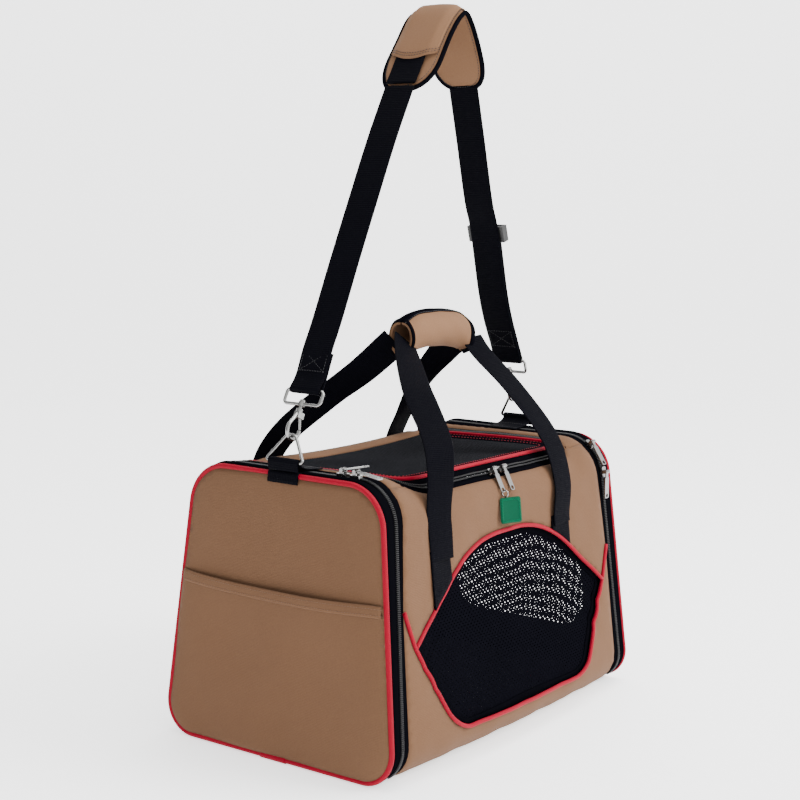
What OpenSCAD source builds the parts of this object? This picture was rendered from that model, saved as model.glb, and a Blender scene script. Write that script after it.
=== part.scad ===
// Soft-sided pet transport carrier: a fabric cabin with a door that folds down at each end,
// a zipped mesh flap in the top, two hand grips and a shoulder strap on snap hooks.
// Origin: middle of the base, on the floor. +X to the right-hand door, -Y to the front, +Z up.

/* [Cabin] */
// Length along the base, between the centres of the two door pipings
cabin_len = 452; // [448:1:456]
// Width of the base, front to back
base_w = 300; // [298:1:302]
// Width the two long sides would reach at the rim height
rim_w = 241; // [239:1:243]
// Height of the stiff end rims
rim_h = 287; // [286:1:288]
// Height of the softer top between the rims
top_h = 281; // [280:1:282]
// How far each door leans inward from its foot to the rim
end_lean = 16; // [15:1:17]
// Radius of the two lower corners of the end outline
low_r = 36; // [34:1:38]
// Radius of the two upper corners of the end outline
top_r = 47; // [46:1:48]
// Thickness of a padded fabric panel
panel_t = 2.5; // [2:0.1:2.6]
// Thickness of zipper tape
tape_t = 1.6; // [1.2:0.1:1.8]
// Radius of the round piping on the door edges
piping_r = 3; // [2.6:0.1:3.1]

/* [Windows and pocket] */
// Half width of the side window where its lower seam meets the door zipper
seam_half = 201; // [199:1:203]
// Half width of the side window at its flat lower edge
sill_half = 126; // [122:1:130]
// Height of the flat lower edge of the side window
sill_z = 35; // [34:1:38]
// Height where the lower seam meets the door zipper
seam_z = 163; // [160:1:166]
// Height of the top of the window arch
arch_z = 212; // [208:1:214]
// Half width of the arch where it would meet the lower seam
arch_half = 178; // [176:1:180]
// Height of the top edge of the pocket on the left door
pocket_z = 174; // [165:1:180]
// Lower edge of the mesh window in the right door
door_window_low = 45; // [42:1:60]
// Upper edge of the mesh window in the right door
door_window_top = 236; // [220:1:238]

/* [Top flap] */
// Half width of the flap, to the centre of its piping
flap_half = 150; // [146:1:151]
// Distance of the flap's front piping in front of the middle
flap_front = 96; // [94:1:97]
// Distance of the flap's fabric hinge behind the middle
flap_back = 100; // [98:1:101]
// Corner radius of the flap's front corners
flap_r = 28; // [26:1:32]
// Radius of the thin piping on the flap and the windows
thin_piping_r = 2.5; // [2:0.1:2.6]

/* [Webbing] */
// Width of the shoulder strap webbing
strap_w = 38; // [36:1:38]
// Thickness of the shoulder strap webbing
strap_t = 2.2; // [1.8:0.1:2.4]
// Width of the hand grip webbing
handle_w = 32; // [30:1:32]
// Thickness of the hand grip webbing
handle_t = 1.6; // [1.4:0.1:1.8]
// Height at which the grip webbing leaves the side panels
anchor_z = 211; // [210:1:212]
// Height of the middle of the hand grip
grip_z = 408; // [404:1:410]
// Length of the padded hand grip
grip_len = 124; // [118:1:126]
// Height of the top of the shoulder pad's bend
apex_z = 747; // [740:1:750]
// Width of the shoulder pad
pad_w = 68; // [64:1:70]

/* [Metal fittings] */
// Wire radius of the two D-rings
ring_wire_r = 1.6; // [1.5:0.05:1.7]
// Height of a D-ring from its base bar to its tip
ring_h = 27; // [26:0.5:28]
// Wire radius of a snap hook
hook_wire_r = 1.8; // [1.7:0.05:1.9]
// Radius of the bend at the foot of a snap hook
hook_bend_r = 9; // [8.8:0.1:9.4]
// Wire radius of a strap loop
loop_wire_r = 1.7; // [1.5:0.05:1.8]
// Radius of the hole in a zipper puller
puller_hole_r = 2.2; // [2:0.1:2.4]
// Running clearance on a pin, on the radius
pin_gap = 0.05; // [0.03:0.01:0.08]

/* [Hidden] */
$fn = 48;
gap = 0.4;                    // air between pieces that do not touch
shell_in = 2;                 // cabin fabric lies this far inside the end outline
piping_in = 3.6;              // centre line of the door piping inside the end outline
lean_angle = atan(end_lean / rim_h);
side_angle = atan((base_w - rim_w) / 2 / rim_h);
end_x = cabin_len / 2;        // door piping at the floor
seam_x0 = 201;                // inner edge of the end zipper at the floor
seam_x1 = 178;                // and at the rim
tape_x0 = end_x - piping_r - gap;
tape_x1 = tape_x0 - end_lean;
coil_x0 = (seam_x0 + tape_x0) / 2;
coil_x1 = (seam_x1 + tape_x1) / 2;
base_half = 112;              // flat part of the base, either side of the middle
arch_slope = 0.785;           // rise of the arch seam per unit of length
arch_r = 160;                 // rounding of the arch's two shoulders
seam_r = 45;                  // rounding of the lower seam's two corners
front_anchor = [-128, 100];   // grip webbing on the front panel
back_anchor = [-100, 128];    // grip webbing on the back panel
grip_mid = 35;
bar_x = 212;                  // D-ring base bar
bar_z = rim_h + 9.3;
ring_lean = 24;
link_gap = 4;                 // ring wire to hook wire, centre to centre
hook_x = bar_x - (ring_h - link_gap) * sin(ring_lean);
hook_z = bar_z + (ring_h - link_gap) * cos(ring_lean);
apex_x = 38;
pad_left = [-26, 668];        // where the strap runs into the pad
pad_right = [85, 678];
left_pull = atan((pad_left[0] + hook_x) / (pad_left[1] - hook_z));
right_pull = atan((hook_x - pad_right[0]) / (pad_right[1] - hook_z));
loop_low = 36;                // hook foot to the loop's lower bar
loop_high = 51;               // hook foot to the bar the strap folds round
axle_h = 7.2;                 // puller pin above the tape
pin_r = 0.9;
wire_lap = 0.15;              // a straight runs this far into a bend
wire_step = 0.02;             // and is this much thinner on the radius
rim_arc_y = corner_y(rim_h - top_r, top_r);
rim_arc_z = rim_h - top_r;
top_arc_y = corner_y(top_h - top_r, top_r);
top_arc_z = top_h - top_r;

// ---- outlines and helpers ----

// Y of the centre of a corner arc that touches the sloping side at height z
function corner_y(z, r) =
    base_w / 2 - (r + z * sin(side_angle)) / cos(side_angle);

// End outline of the cabin, drawn as Y across and Z up, moved inward by inset
module end_profile(inset, height = rim_h) {
    hull() for (s = [-1, 1]) {
        translate([s * corner_y(low_r, low_r), low_r]) circle(low_r - inset);
        translate([s * corner_y(height - top_r, top_r), height - top_r]) circle(top_r - inset);
    }
}

// Runs a Y-Z drawing along X
module along_x(length) {
    rotate([90, 0, 90]) linear_extrude(length, center = true) children();
}

// Runs an X-Z drawing from the middle plane out through the front
module through_front() {
    rotate([90, 0, 0]) linear_extrude(200) children();
}

// Space between two planes that lean with the doors; a and b are X at the floor and the rim
module between_planes(a0, a1, b0, b1) {
    rotate([90, 0, 0]) linear_extrude(400, center = true)
        polygon([[a0, 0], [b0, 0], [b1, rim_h], [a1, rim_h]]);
}

module fabric_shell(thickness, height) {
    along_x(2 * end_x) difference() {
        end_profile(shell_in, height);
        end_profile(shell_in + thickness, height);
    }
}

// Fabric between the two end zippers
module cabin_fabric(thickness) {
    intersection() {
        fabric_shell(thickness, top_h);
        between_planes(-seam_x0, -seam_x1, seam_x0, seam_x1);
    }
}

// Places a drawing of the end outline in the plane of the right-hand door
module door_plane() {
    translate([end_x, 0, 0]) rotate([0, -lean_angle, 0]) rotate([90, 0, 90]) children();
}

module left_side() mirror([1, 0, 0]) children();

// Sheet in the door plane between two depths, measured outward from the piping plane
module door_sheet(from, to) {
    door_plane() translate([0, 0, from]) linear_extrude(to - from) children();
}

// ---- bent wire: straight rods joined by round bends, in the XY plane ----

function unit(v) = v / norm(v);
function bend_reach(a, b, c, r) =
    r / tan(acos(unit(a - b) * unit(c - b)) / 2);
function bend_centre(a, b, c, r) =
    b + unit(unit(a - b) + unit(c - b)) * r / sin(acos(unit(a - b) * unit(c - b)) / 2);
function turn_of(a, b, c) = (b[0] - a[0]) * (c[1] - b[1]) - (b[1] - a[1]) * (c[0] - b[0]);

// Straight wire from p to q, run on into the bend at each end by lap_p and lap_q
module rod(p, q, wire_r, lap_p = 0, lap_q = 0) {
    d = q - p;
    translate([p[0], p[1], 0]) rotate([0, 0, atan2(d[1], d[0])]) rotate([0, 90, 0])
        translate([0, 0, -lap_p]) cylinder(r = wire_r, h = norm(d) + lap_p + lap_q);
}

module bend(a, b, c, r, wire_r) {
    centre = bend_centre(a, b, c, r);
    inner = acos(unit(a - b) * unit(c - b));
    first = turn_of(a, b, c) > 0 ? b + unit(a - b) * bend_reach(a, b, c, r)
        : b + unit(c - b) * bend_reach(a, b, c, r);
    translate([centre[0], centre[1], 0])
        rotate([0, 0, atan2(first[1] - centre[1], first[0] - centre[0])])
            rotate_extrude(angle = 180 - inner) translate([r, 0]) circle(wire_r);
}

// Points with a bend radius at each; the ends of an open wire have no bend
module bent_wire(pts, radii, wire_r, closed = true) {
    n = len(pts);
    last = closed ? n - 1 : n - 2;
    for (i = [0 : last]) {
        a = pts[(i + n - 1) % n];
        b = pts[i];
        c = pts[(i + 1) % n];
        d = pts[(i + 2) % n];
        if (closed || i > 0) bend(a, b, c, radii[i], wire_r);
        j = (i + 1) % n;
        bent_b = closed || i > 0;
        bent_c = closed || j < n - 1;
        start = bent_b ? b + unit(c - b) * bend_reach(a, b, c, radii[i]) : b;
        stop = bent_c ? c + unit(b - c) * bend_reach(b, c, d, radii[j]) : c;
        rod(start, stop, wire_r - wire_step, bent_b ? wire_lap : 0, bent_c ? wire_lap : 0);
    }
}

// Corner points of the end outline moved inward by inset, before rounding
function outline_corners(inset) =
    let (low = corner_x_at(inset, inset), high = corner_x_at(rim_h - inset, inset))
    [[-low, inset], [low, inset], [high, rim_h - inset], [-high, rim_h - inset]];
function corner_x_at(z, inset) =
    base_w / 2 - inset / cos(side_angle) - z * tan(side_angle);

module outline_wire(inset, wire_r) {
    door_plane() bent_wire(outline_corners(inset),
        [low_r - inset, low_r - inset, top_r - inset, top_r - inset], wire_r);
}

// ---- base and floor ----

module base_panel() {
    color("tan") translate([-seam_x0 + 1, -base_half, 0])
        cube([2 * seam_x0 - 2, 2 * base_half, panel_t]);
}

module rounded_slab(length, width, height, r) {
    linear_extrude(height) offset(r) square([length - 2 * r, width - 2 * r], center = true);
}

module base_board() {
    color("dimgray") translate([0, 0, 4.8]) rounded_slab(392, 214, 3.6, 12);
}

module floor_mat() {
    color("black") translate([0, 0, 8.8]) rounded_slab(388, 210, 13, 14);
}

// ---- side panels and windows ----

// Open-topped outline of the lower seam, rounded at its two lower corners
module seam_outline(grow) {
    rise = (seam_z - sill_z) / (seam_half - sill_half);
    offset(delta = grow) offset(seam_r) offset(-seam_r)
        polygon([[-sill_half, sill_z], [sill_half, sill_z],
            [sill_half + 500 / rise, sill_z + 500], [-sill_half - 500 / rise, sill_z + 500]]);
}

// Everything below the arch seam
module arch_outline(grow) {
    flat = arch_half - (arch_z - 128) / arch_slope;
    foot = arch_half + 428 / arch_slope;
    offset(delta = grow) offset(arch_r) offset(-arch_r)
        polygon([[-foot, -300], [foot, -300], [flat, arch_z], [-flat, arch_z]]);
}

module window_outline(grow) {
    intersection() {
        seam_outline(grow);
        arch_outline(grow);
    }
}

module front_lower_panel() {
    color("tan") difference() {
        intersection() {
            cabin_fabric(panel_t);
            through_front() difference() {
                translate([-end_x, 0]) square([2 * end_x, seam_z + 30]);
                seam_outline(thin_piping_r + gap);
            }
        }
        translate([-end_x, -base_half - gap, -1]) cube([2 * end_x, 300, 20]);
    }
}

module back_lower_panel() rotate([0, 0, 180]) front_lower_panel();

module front_upper_panel() {
    color("tan") intersection() {
        cabin_fabric(panel_t);
        through_front() difference() {
            seam_outline(-thin_piping_r - gap);
            arch_outline(thin_piping_r + gap);
        }
        translate([-end_x, -300, 0]) cube([2 * end_x, 300 - base_half - gap, rim_h]);
    }
}

module back_upper_panel() rotate([0, 0, 180]) front_upper_panel();

module front_window_mesh() {
    color([0.1, 0.1, 0.11]) intersection() {
        difference() {
            along_x(2 * end_x) end_profile(shell_in + panel_t + gap, top_h);
            along_x(2 * end_x) end_profile(shell_in + panel_t + gap + 1, top_h);
        }
        between_planes(-seam_x0 + 3, -seam_x1 + 3, seam_x0 - 3, seam_x1 - 3);
        through_front() difference() {
            window_outline(8);
            translate([-end_x, 0]) square([2 * end_x, 26]);
        }
    }
}

module back_window_mesh() rotate([0, 0, 180]) front_window_mesh();

// Piping along the lower seam and round the arch, standing a little proud of the panels
module front_piping() {
    r = thin_piping_r;
    color("crimson") intersection() {
        along_x(2 * end_x) difference() {
            end_profile(shell_in - r, top_h);
            end_profile(shell_in + r, top_h);
        }
        between_planes(-seam_x0 + gap, -seam_x1 + gap, seam_x0 - gap, seam_x1 - gap);
        through_front() intersection() {
            translate([-end_x, sill_z - 2 * r]) square([2 * end_x, seam_z - sill_z]);
            union() {
                difference() {
                    seam_outline(r);
                    seam_outline(-r);
                }
                difference() {
                    intersection() {
                        seam_outline(r);
                        arch_outline(r);
                    }
                    arch_outline(-r);
                }
            }
        }
    }
}

module back_piping() rotate([0, 0, 180]) front_piping();

// ---- top panel and the flap ----

// Top view of the flap to the centre of its piping, grown outward on its three zipped edges
module flap_outline(grow, back = flap_back) {
    half = flap_half + grow;
    front = flap_front + grow;
    r = flap_r + grow;
    hull() {
        for (s = [-1, 1]) translate([s * (half - r), -front + r]) circle(r);
        translate([-half, back - 2]) square([2 * half, 2]);
    }
}

module top_panel() {
    color("tan") difference() {
        intersection() {
            cabin_fabric(panel_t);
            translate([-end_x, -base_half, top_h - 40]) cube([2 * end_x, 2 * base_half, 60]);
        }
        translate([0, 0, top_h - 60]) linear_extrude(100)
            flap_outline(14 + 2 * gap, flap_back + 1);
    }
}

module flap_body_tape() {
    color([0.1, 0.1, 0.11]) intersection() {
        cabin_fabric(tape_t);
        translate([0, 0, top_h - 40]) linear_extrude(60) difference() {
            flap_outline(14 + gap);
            flap_outline(8.5 + gap);
        }
    }
}

flap_z = top_h - shell_in;

module flap_mesh() {
    color([0.13, 0.13, 0.14]) translate([0, 0, flap_z - 1.4]) linear_extrude(1.2)
        difference() {
            flap_outline(-14 - gap);
            translate([-end_x, flap_back - 12]) square([2 * end_x, 20]);
        }
}

module flap_binding() {
    color([0.08, 0.08, 0.09]) translate([0, 0, flap_z - 1.8]) linear_extrude(1.8)
        difference() {
            flap_outline(-thin_piping_r - gap);
            difference() {
                flap_outline(-14);
                translate([-end_x, flap_back - 12 + gap]) square([2 * end_x, 20]);
            }
        }
}

module flap_piping() {
    back = flap_back - 3;
    color("crimson") translate([0, 0, flap_z]) bent_wire(
        [[-flap_half, back], [-flap_half, -flap_front], [flap_half, -flap_front],
            [flap_half, back]],
        [1, flap_r, flap_r, 1], thin_piping_r, false);
}

module flap_tape() {
    color([0.1, 0.1, 0.11]) intersection() {
        cabin_fabric(tape_t);
        translate([0, 0, top_h - 40]) linear_extrude(60) difference() {
            flap_outline(8.5);
            flap_outline(thin_piping_r + gap);
        }
    }
}

// ---- end zippers, ring tabs and strips sewn to the cabin ----

module end_tape_ring(a0, a1, b0, b1) {
    intersection() {
        fabric_shell(tape_t, rim_h);
        between_planes(a0, a1, b0, b1);
    }
}

module end_body_tapes() {
    color([0.1, 0.1, 0.11]) for (side = [0, 1]) mirror([side, 0, 0])
        end_tape_ring(seam_x0 + gap, seam_x1 + gap, coil_x0 - gap, coil_x1 - gap);
}

// Webbing that runs from the cabin over the door's rim and folds round the ring's base bar
module ring_tabs() {
    inner_r = ring_wire_r + 0.3;
    foot = [186, rim_h - shell_in + 1.2];
    knee = [197, rim_h + 2.9];
    end = [bar_x - 2.5, bar_z - 1.3];
    color([0.07, 0.07, 0.08]) for (side = [0, 1]) mirror([side, 0, 0])
        rotate([90, 0, 0]) linear_extrude(strap_w, center = true) difference() {
            union() {
                band([foot, knee, end], handle_t);
                translate([bar_x, bar_z]) circle(inner_r + handle_t);
            }
            translate([bar_x, bar_z]) circle(inner_r);
        }
}

// Points beside a bent line, offset to its left by d and mitred at each bend
function beside(pts, d) =
    let (last = len(pts) - 1,
        dirs = [for (i = [0 : last - 1]) unit(pts[i + 1] - pts[i])])
    [for (i = [0 : last])
        let (before = dirs[max(i - 1, 0)], after = dirs[min(i, last - 1)],
            middle = unit(before + after))
        pts[i] + [-middle[1], middle[0]] * d / (middle * after)];

// Flat band of thickness t along a bent line
module band(pts, t) {
    right = beside(pts, -t / 2);
    left = beside(pts, t / 2);
    polygon(concat(right, [for (i = [len(pts) - 1 : -1 : 0]) left[i]]));
}

module sewn_strips(places) {
    intersection() {
        along_x(2 * end_x) difference() {
            end_profile(shell_in - gap - handle_t, top_h);
            end_profile(shell_in - gap, top_h);
        }
        through_front() difference() {
            for (x = places) translate([x - handle_w / 2, sill_z + 60])
                square([handle_w, anchor_z - sill_z - 63]);
            arch_outline(thin_piping_r + gap);
        }
    }
}

module handle_strips() {
    color([0.07, 0.07, 0.08]) {
        sewn_strips(front_anchor);
        mirror([0, 1, 0]) sewn_strips(back_anchor);
    }
}

// ---- doors ----

module door_fabric() {
    end_profile(piping_in + piping_r + gap);
}

module door_window(grow) {
    half = 100 + grow;
    hull() for (s = [-1, 1]) {
        translate([s * (half - 30), door_window_low - grow + 30]) circle(30);
        translate([s * (half - 62), door_window_top + grow - 46]) circle(46);
    }
}

module end_panel_blank() {
    door_sheet(-1.4, 1.8) children();
}

module left_end_panel() {
    color("tan") left_side() end_panel_blank() door_fabric();
}

module left_pocket() {
    color("tan") left_side() door_sheet(2.1, 3.4) intersection() {
        offset(-2) door_fabric();
        translate([-base_w, 0]) square([2 * base_w, pocket_z]);
    }
}

module right_end_panel() {
    color("tan") end_panel_blank() difference() {
        door_fabric();
        door_window(0);
    }
}

module right_window_mesh() {
    color([0.1, 0.1, 0.11]) door_sheet(-2.8, -1.7) door_window(9);
}

// Square-sectioned here; its sides are those of the round piping's equal area
module door_piping() {
    half = piping_r * 0.89;
    color("crimson") door_sheet(-half, half) difference() {
        end_profile(piping_in - half);
        end_profile(piping_in + half);
    }
}

module left_piping() left_side() door_piping();
module right_piping() door_piping();

module door_tape() {
    color([0.1, 0.1, 0.11])
        end_tape_ring(coil_x0 + gap, coil_x1 + gap, tape_x0, tape_x1);
}

module left_outer_tape() left_side() door_tape();
module right_outer_tape() door_tape();

// Spring-steel hoop sewn in behind each door's edge
module frame_wire() {
    color("silver") translate([-6, 0, 0]) outline_wire(piping_in + 6, 1.5);
}

module left_frame_wire() left_side() frame_wire();
module right_frame_wire() frame_wire();

// Short length of webbing sewn over the piping under the ring
module tab_patch() {
    top = rim_h - piping_in;
    r = piping_r + 0.9;
    color([0.07, 0.07, 0.08]) translate([end_x, 0, 0]) rotate([0, -lean_angle, 0])
        rotate([90, 0, 0]) linear_extrude(strap_w, center = true) {
            difference() {
                translate([0, top]) circle(r + handle_t);
                translate([0, top]) circle(r);
                translate([-20, top - 20]) square([40, 20]);
                translate([-20, top]) square([18.5, 20]);
            }
            translate([r, top - 18]) square([handle_t, 18]);
        }
}

module left_tab_patch() left_side() tab_patch();
module right_tab_patch() tab_patch();

// ---- zipper sliders and pullers; both turn on a pin along X ----

// Slider on a tape whose outward normal is local +Z; sizes along X and along the slope
module slider(size_x, size_t) {
    color("silver") {
        translate([0, 0, gap]) linear_extrude(3.2)
            offset(2) square([size_x - 4, size_t - 4], center = true);
        for (s = [-1, 1]) translate([s * 3.4 - 0.6, 0, 0]) rotate([90, 0, 90])
            linear_extrude(1.2) {
                translate([-1.8, 3]) square([3.6, axle_h - 3]);
                translate([0, axle_h]) circle(1.8);
            }
        translate([-3.6, 0, axle_h]) rotate([0, 90, 0]) cylinder(r = pin_r, h = 7.2);
    }
}

// Puller hanging along local -Z from its pin at the local origin
module puller(length, width) {
    color("silver") difference() {
        union() {
            translate([-2.3, 0, 0]) rotate([0, 90, 0]) cylinder(r = 2, h = 4.6);
            translate([-2.3, -0.6, -8]) cube([4.6, 1.2, 8]);
            translate([0, 0.6, 0]) rotate([90, 0, 0]) linear_extrude(1.2)
                translate([0, -length / 2 - 3]) offset(2)
                    square([width - 4, length - 10], center = true);
        }
        translate([-5, 0, 0]) rotate([0, 90, 0]) cylinder(r = pin_r + pin_gap, h = 10);
        translate([0, 5, -length + 3]) rotate([90, 0, 0])
            cylinder(r = puller_hole_r, h = 10);
    }
}

// Point and tilt on the front corner arc; angle is measured up from the horizontal
module on_arc(y, z, angle, x) {
    translate([x, -y, z]) rotate([90 - angle, 0, 0]) translate([0, 0, top_r - shell_in])
        children();
}

top_angle = 52.8;             // front flap zipper on the top's corner arc
top_hang = 27;                // the hanging pullers lie off the vertical by this much

module top_slider_at(x) {
    on_arc(top_arc_y, top_arc_z, top_angle, x) slider(12, 7);
}

module top_puller_at(x) {
    reach = top_r - shell_in + axle_h;
    translate([x, -top_arc_y - reach * cos(top_angle), top_arc_z + reach * sin(top_angle)])
        rotate([-top_hang, 0, 0]) puller(27, 7);
}

module top_slider_left() top_slider_at(-9);
module top_slider_right() top_slider_at(9);
module top_puller_left() top_puller_at(-9);
module top_puller_right() top_puller_at(9);

// Plain square tag on a small wire ring through the left puller's hole
module name_tag() {
    reach = top_r - shell_in + axle_h;
    color("green")
        translate([-9, -top_arc_y - reach * cos(top_angle), top_arc_z + reach * sin(top_angle)])
            rotate([-top_hang, 0, 0]) translate([0, 0, -24]) {
                translate([0, -2.2, -2.7]) rotate([0, 90, 0])
                    rotate_extrude() translate([3.5, 0]) circle(0.7, $fn = 24);
                translate([0, -2.2, -7]) rotate([top_hang - side_angle, 0, 0])
                    translate([0, 0.8, 0]) rotate([90, 0, 0]) linear_extrude(1.6)
                        difference() {
                            translate([5, -13]) offset(2) square([24, 26], center = true);
                            circle(1.8);
                        }
            }
}

// End zipper: the sliders stand on the coil line of the sloping end band
function coil_x(z) = coil_x0 + (coil_x1 - coil_x0) * z / rim_h;

rear_y = -57;                 // left pair stands on the flat of the rim
front_y = -73;
high_angle = 50;              // right pair stands on the corner
low_z = 246;
side_out = base_w / 2 - shell_in / cos(side_angle) - low_z * tan(side_angle);

module rim_slider(x, y) {
    translate([x, y, rim_h - shell_in]) slider(8, 12);
}

module rim_puller(x, y, rise) {
    translate([x, y, rim_h - shell_in + axle_h]) rotate([-90 - rise, 0, 0]) puller(30, 8);
}

module left_slider_rear() rim_slider(-coil_x(rim_h), rear_y);
module left_slider_front() rim_slider(-coil_x(rim_h), front_y);
module left_puller_rear() rim_puller(-coil_x(rim_h), rear_y, 12);
module left_puller_front() rim_puller(-coil_x(rim_h), front_y, -8);

module right_slider_high() {
    on_arc(rim_arc_y, rim_arc_z, high_angle, coil_x(rim_h - 10)) slider(8, 12);
}

module right_puller_high() {
    reach = top_r - shell_in + axle_h;
    translate([coil_x(rim_h - 10), -rim_arc_y - reach * cos(high_angle),
        rim_arc_z + reach * sin(high_angle)]) rotate([-33, 0, 0]) puller(30, 8);
}

module right_slider_low() {
    translate([coil_x(low_z), -side_out, low_z]) rotate([90 - side_angle, 0, 0]) slider(8, 12);
}

module right_puller_low() {
    translate([coil_x(low_z), -side_out - axle_h * cos(side_angle),
        low_z + axle_h * sin(side_angle)]) rotate([-1, 0, 0]) puller(30, 8);
}

// ---- hand grips ----

// Thin cross-section of the webbing; tilt leans it, roll turns it towards the grip
module webbing_station(p, tilt, roll) {
    translate(p) rotate([tilt, roll, 0]) cube([handle_w, handle_t, 0.6], center = true);
}

function anchor_y(z) = -(base_w / 2 - z * tan(side_angle)) - 0.9;

// One leg, from the sewn strip over the front edge and up to the end of the grip
module handle_leg(x, side) {
    end_x = grip_mid + side * grip_len / 2;
    shift = end_x - x;
    stations = [
        [[x, anchor_y(anchor_z), anchor_z + 0.8], -side_angle, 0],
        [[x + 0.06 * shift, anchor_y(286), 286], -10, 0],
        [[x + 0.16 * shift, -110, 319], -30, side * 12],
        [[x + 0.45 * shift, -60, 362], -50, side * 40],
        [[end_x + side * 3, -5, grip_z], -10, side * 88]];
    for (i = [0 : 3]) hull() {
        webbing_station(stations[i][0], stations[i][1], stations[i][2]);
        webbing_station(stations[i + 1][0], stations[i + 1][1], stations[i + 1][2]);
    }
}

module handle_webbing(places) {
    color([0.07, 0.07, 0.08]) {
        handle_leg(places[0], -1);
        handle_leg(places[1], 1);
        translate([grip_mid, -5, grip_z])
            cube([grip_len + 6, handle_t, handle_w], center = true);
    }
}

module front_handle_webbing() handle_webbing(front_anchor);
module back_handle_webbing() mirror([0, 1, 0]) handle_webbing(back_anchor);

// Half of the grip's wrap, closed round its own webbing
module grip_half() {
    color("tan") translate([grip_mid, 0, grip_z]) along_x(grip_len - 6) difference() {
        intersection() {
            scale([17, 21]) circle(1);
            translate([-30, -30]) square([29, 60]);
        }
        translate([-5 - handle_t / 2 - 0.3, -handle_w / 2 - 0.3])
            square([handle_t + 0.6, handle_w + 0.6]);
    }
}

module front_grip() grip_half();
module back_grip() mirror([0, 1, 0]) grip_half();

// ---- shoulder strap ----

left_bar = [-hook_x + loop_high * sin(left_pull), hook_z + loop_high * cos(left_pull)];
right_bar = [hook_x - loop_high * sin(right_pull), hook_z + loop_high * cos(right_pull)];

// Line of the strap over the shoulder, between the two ends of the pad
pad_line = [pad_left, [apex_x - 16, apex_z - 14], [apex_x - 7, apex_z - 7],
    [apex_x + 6, apex_z - 7], [apex_x + 14, apex_z - 14], pad_right];
strap_line = concat([left_bar], pad_line, [right_bar]);

module strap_webbing() {
    inner_r = loop_wire_r + 0.3;
    color([0.05, 0.05, 0.06]) rotate([90, 0, 0]) linear_extrude(strap_w, center = true)
        difference() {
            union() {
                band(strap_line, strap_t);
                for (p = [left_bar, right_bar]) translate(p) circle(inner_r + 1.6);
            }
            for (p = [left_bar, right_bar]) translate(p) circle(inner_r);
        }
}

module shoulder_pad() {
    color("tan") rotate([90, 0, 0]) difference() {
        linear_extrude(pad_w, center = true) band(pad_line, 10);
        linear_extrude(strap_w + 2, center = true) band(strap_line, strap_t + 1.2);
    }
}

// Places a fitting on the strap's line: local +Z along the pull, origin at the hook's foot
module on_left() translate([-hook_x, 0, hook_z]) rotate([0, left_pull, 0]) children();
module on_right() translate([hook_x, 0, hook_z]) rotate([0, -right_pull, 0]) children();

adjuster_at = 205;            // distance of the adjuster along the right-hand strap

module strap_adjuster() {
    color("black") on_right() translate([0, 0, adjuster_at]) difference() {
        cube([9, strap_w + 9, 18], center = true);
        cube([strap_t + 1.6, strap_w + 1.6, 30], center = true);
    }
}

// Rectangular wire loop with a boss that the hook's post turns in
module strap_loop() {
    half = strap_w / 2 + 3.6;
    difference() {
        union() {
            rotate([90, 0, 90]) bent_wire([[-half, loop_low], [half, loop_low],
                [half, loop_high], [-half, loop_high]], [4, 4, 4, 4], loop_wire_r);
            translate([0, 0, loop_low - 2.2]) cylinder(r = 3.4, h = 4.4);
        }
        translate([0, 0, loop_low - 5]) cylinder(r = 1.5 + pin_gap, h = 10);
    }
}

module strap_loops() {
    color("silver") {
        on_left() strap_loop();
        on_right() strap_loop();
    }
}

gate_pin = [3.6, 24];         // across and up from the hook's foot

// Snap hook: bent wire, pivot block for the gate and a post that swivels in the loop
module snap_hook() {
    color("silver") {
        rotate([90, 0, 0]) bent_wire([[-1.6, 26], [-hook_bend_r, 12.4],
            [-hook_bend_r, 0], [hook_bend_r, 0], [hook_bend_r, hook_bend_r + 2.4]],
            [1, 8, hook_bend_r - 0.2, hook_bend_r - 0.2, 1], hook_wire_r, false);
        difference() {
            translate([-3.2, -3, 22]) cube([9, 6, 6]);
            translate([0.8, -1.7, 20]) cube([8, 3.4, 7]);
        }
        translate([gate_pin[0], 3, gate_pin[1]]) rotate([90, 0, 0])
            cylinder(r = pin_r, h = 6);
        translate([0, 0, 27]) cylinder(r = 3.2, h = 4);
        translate([0, 0, 30]) cylinder(r = 1.5, h = 9);
        translate([0, 0, loop_low + 2.6]) cylinder(r = 2.6, h = 1.8);
    }
}

// Spring gate that closes against the inside of the hook's nose
module hook_gate() {
    nose = [hook_bend_r, hook_bend_r + 3.6];
    color("silver") difference() {
        union() {
            translate([gate_pin[0], 1.4, gate_pin[1]]) rotate([90, 0, 0])
                cylinder(r = 2, h = 2.8);
            rotate([90, 0, 0]) rod(gate_pin, nose, 1.1);
        }
        translate([gate_pin[0], 5, gate_pin[1]]) rotate([90, 0, 0])
            cylinder(r = pin_r + pin_gap, h = 10);
    }
}

module left_hook() on_left() snap_hook();
module left_gate() on_left() hook_gate();
module right_hook() on_right() mirror([1, 0, 0]) snap_hook();
module right_gate() on_right() mirror([1, 0, 0]) hook_gate();

// D-ring: base bar in the tab, two sides and a rounded tip, leaning along the strap's pull
module d_ring() {
    half = strap_w / 2 + 4.6;
    color("silver") translate([bar_x, 0, bar_z]) rotate([0, -ring_lean, 0])
        rotate([90, 0, 90]) bent_wire([[-half, 0], [half, 0], [5.2, ring_h], [-5.2, ring_h]],
            [2, 2, 6.5, 6.5], ring_wire_r);
}

module left_ring() left_side() d_ring();
module right_ring() d_ring();

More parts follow.
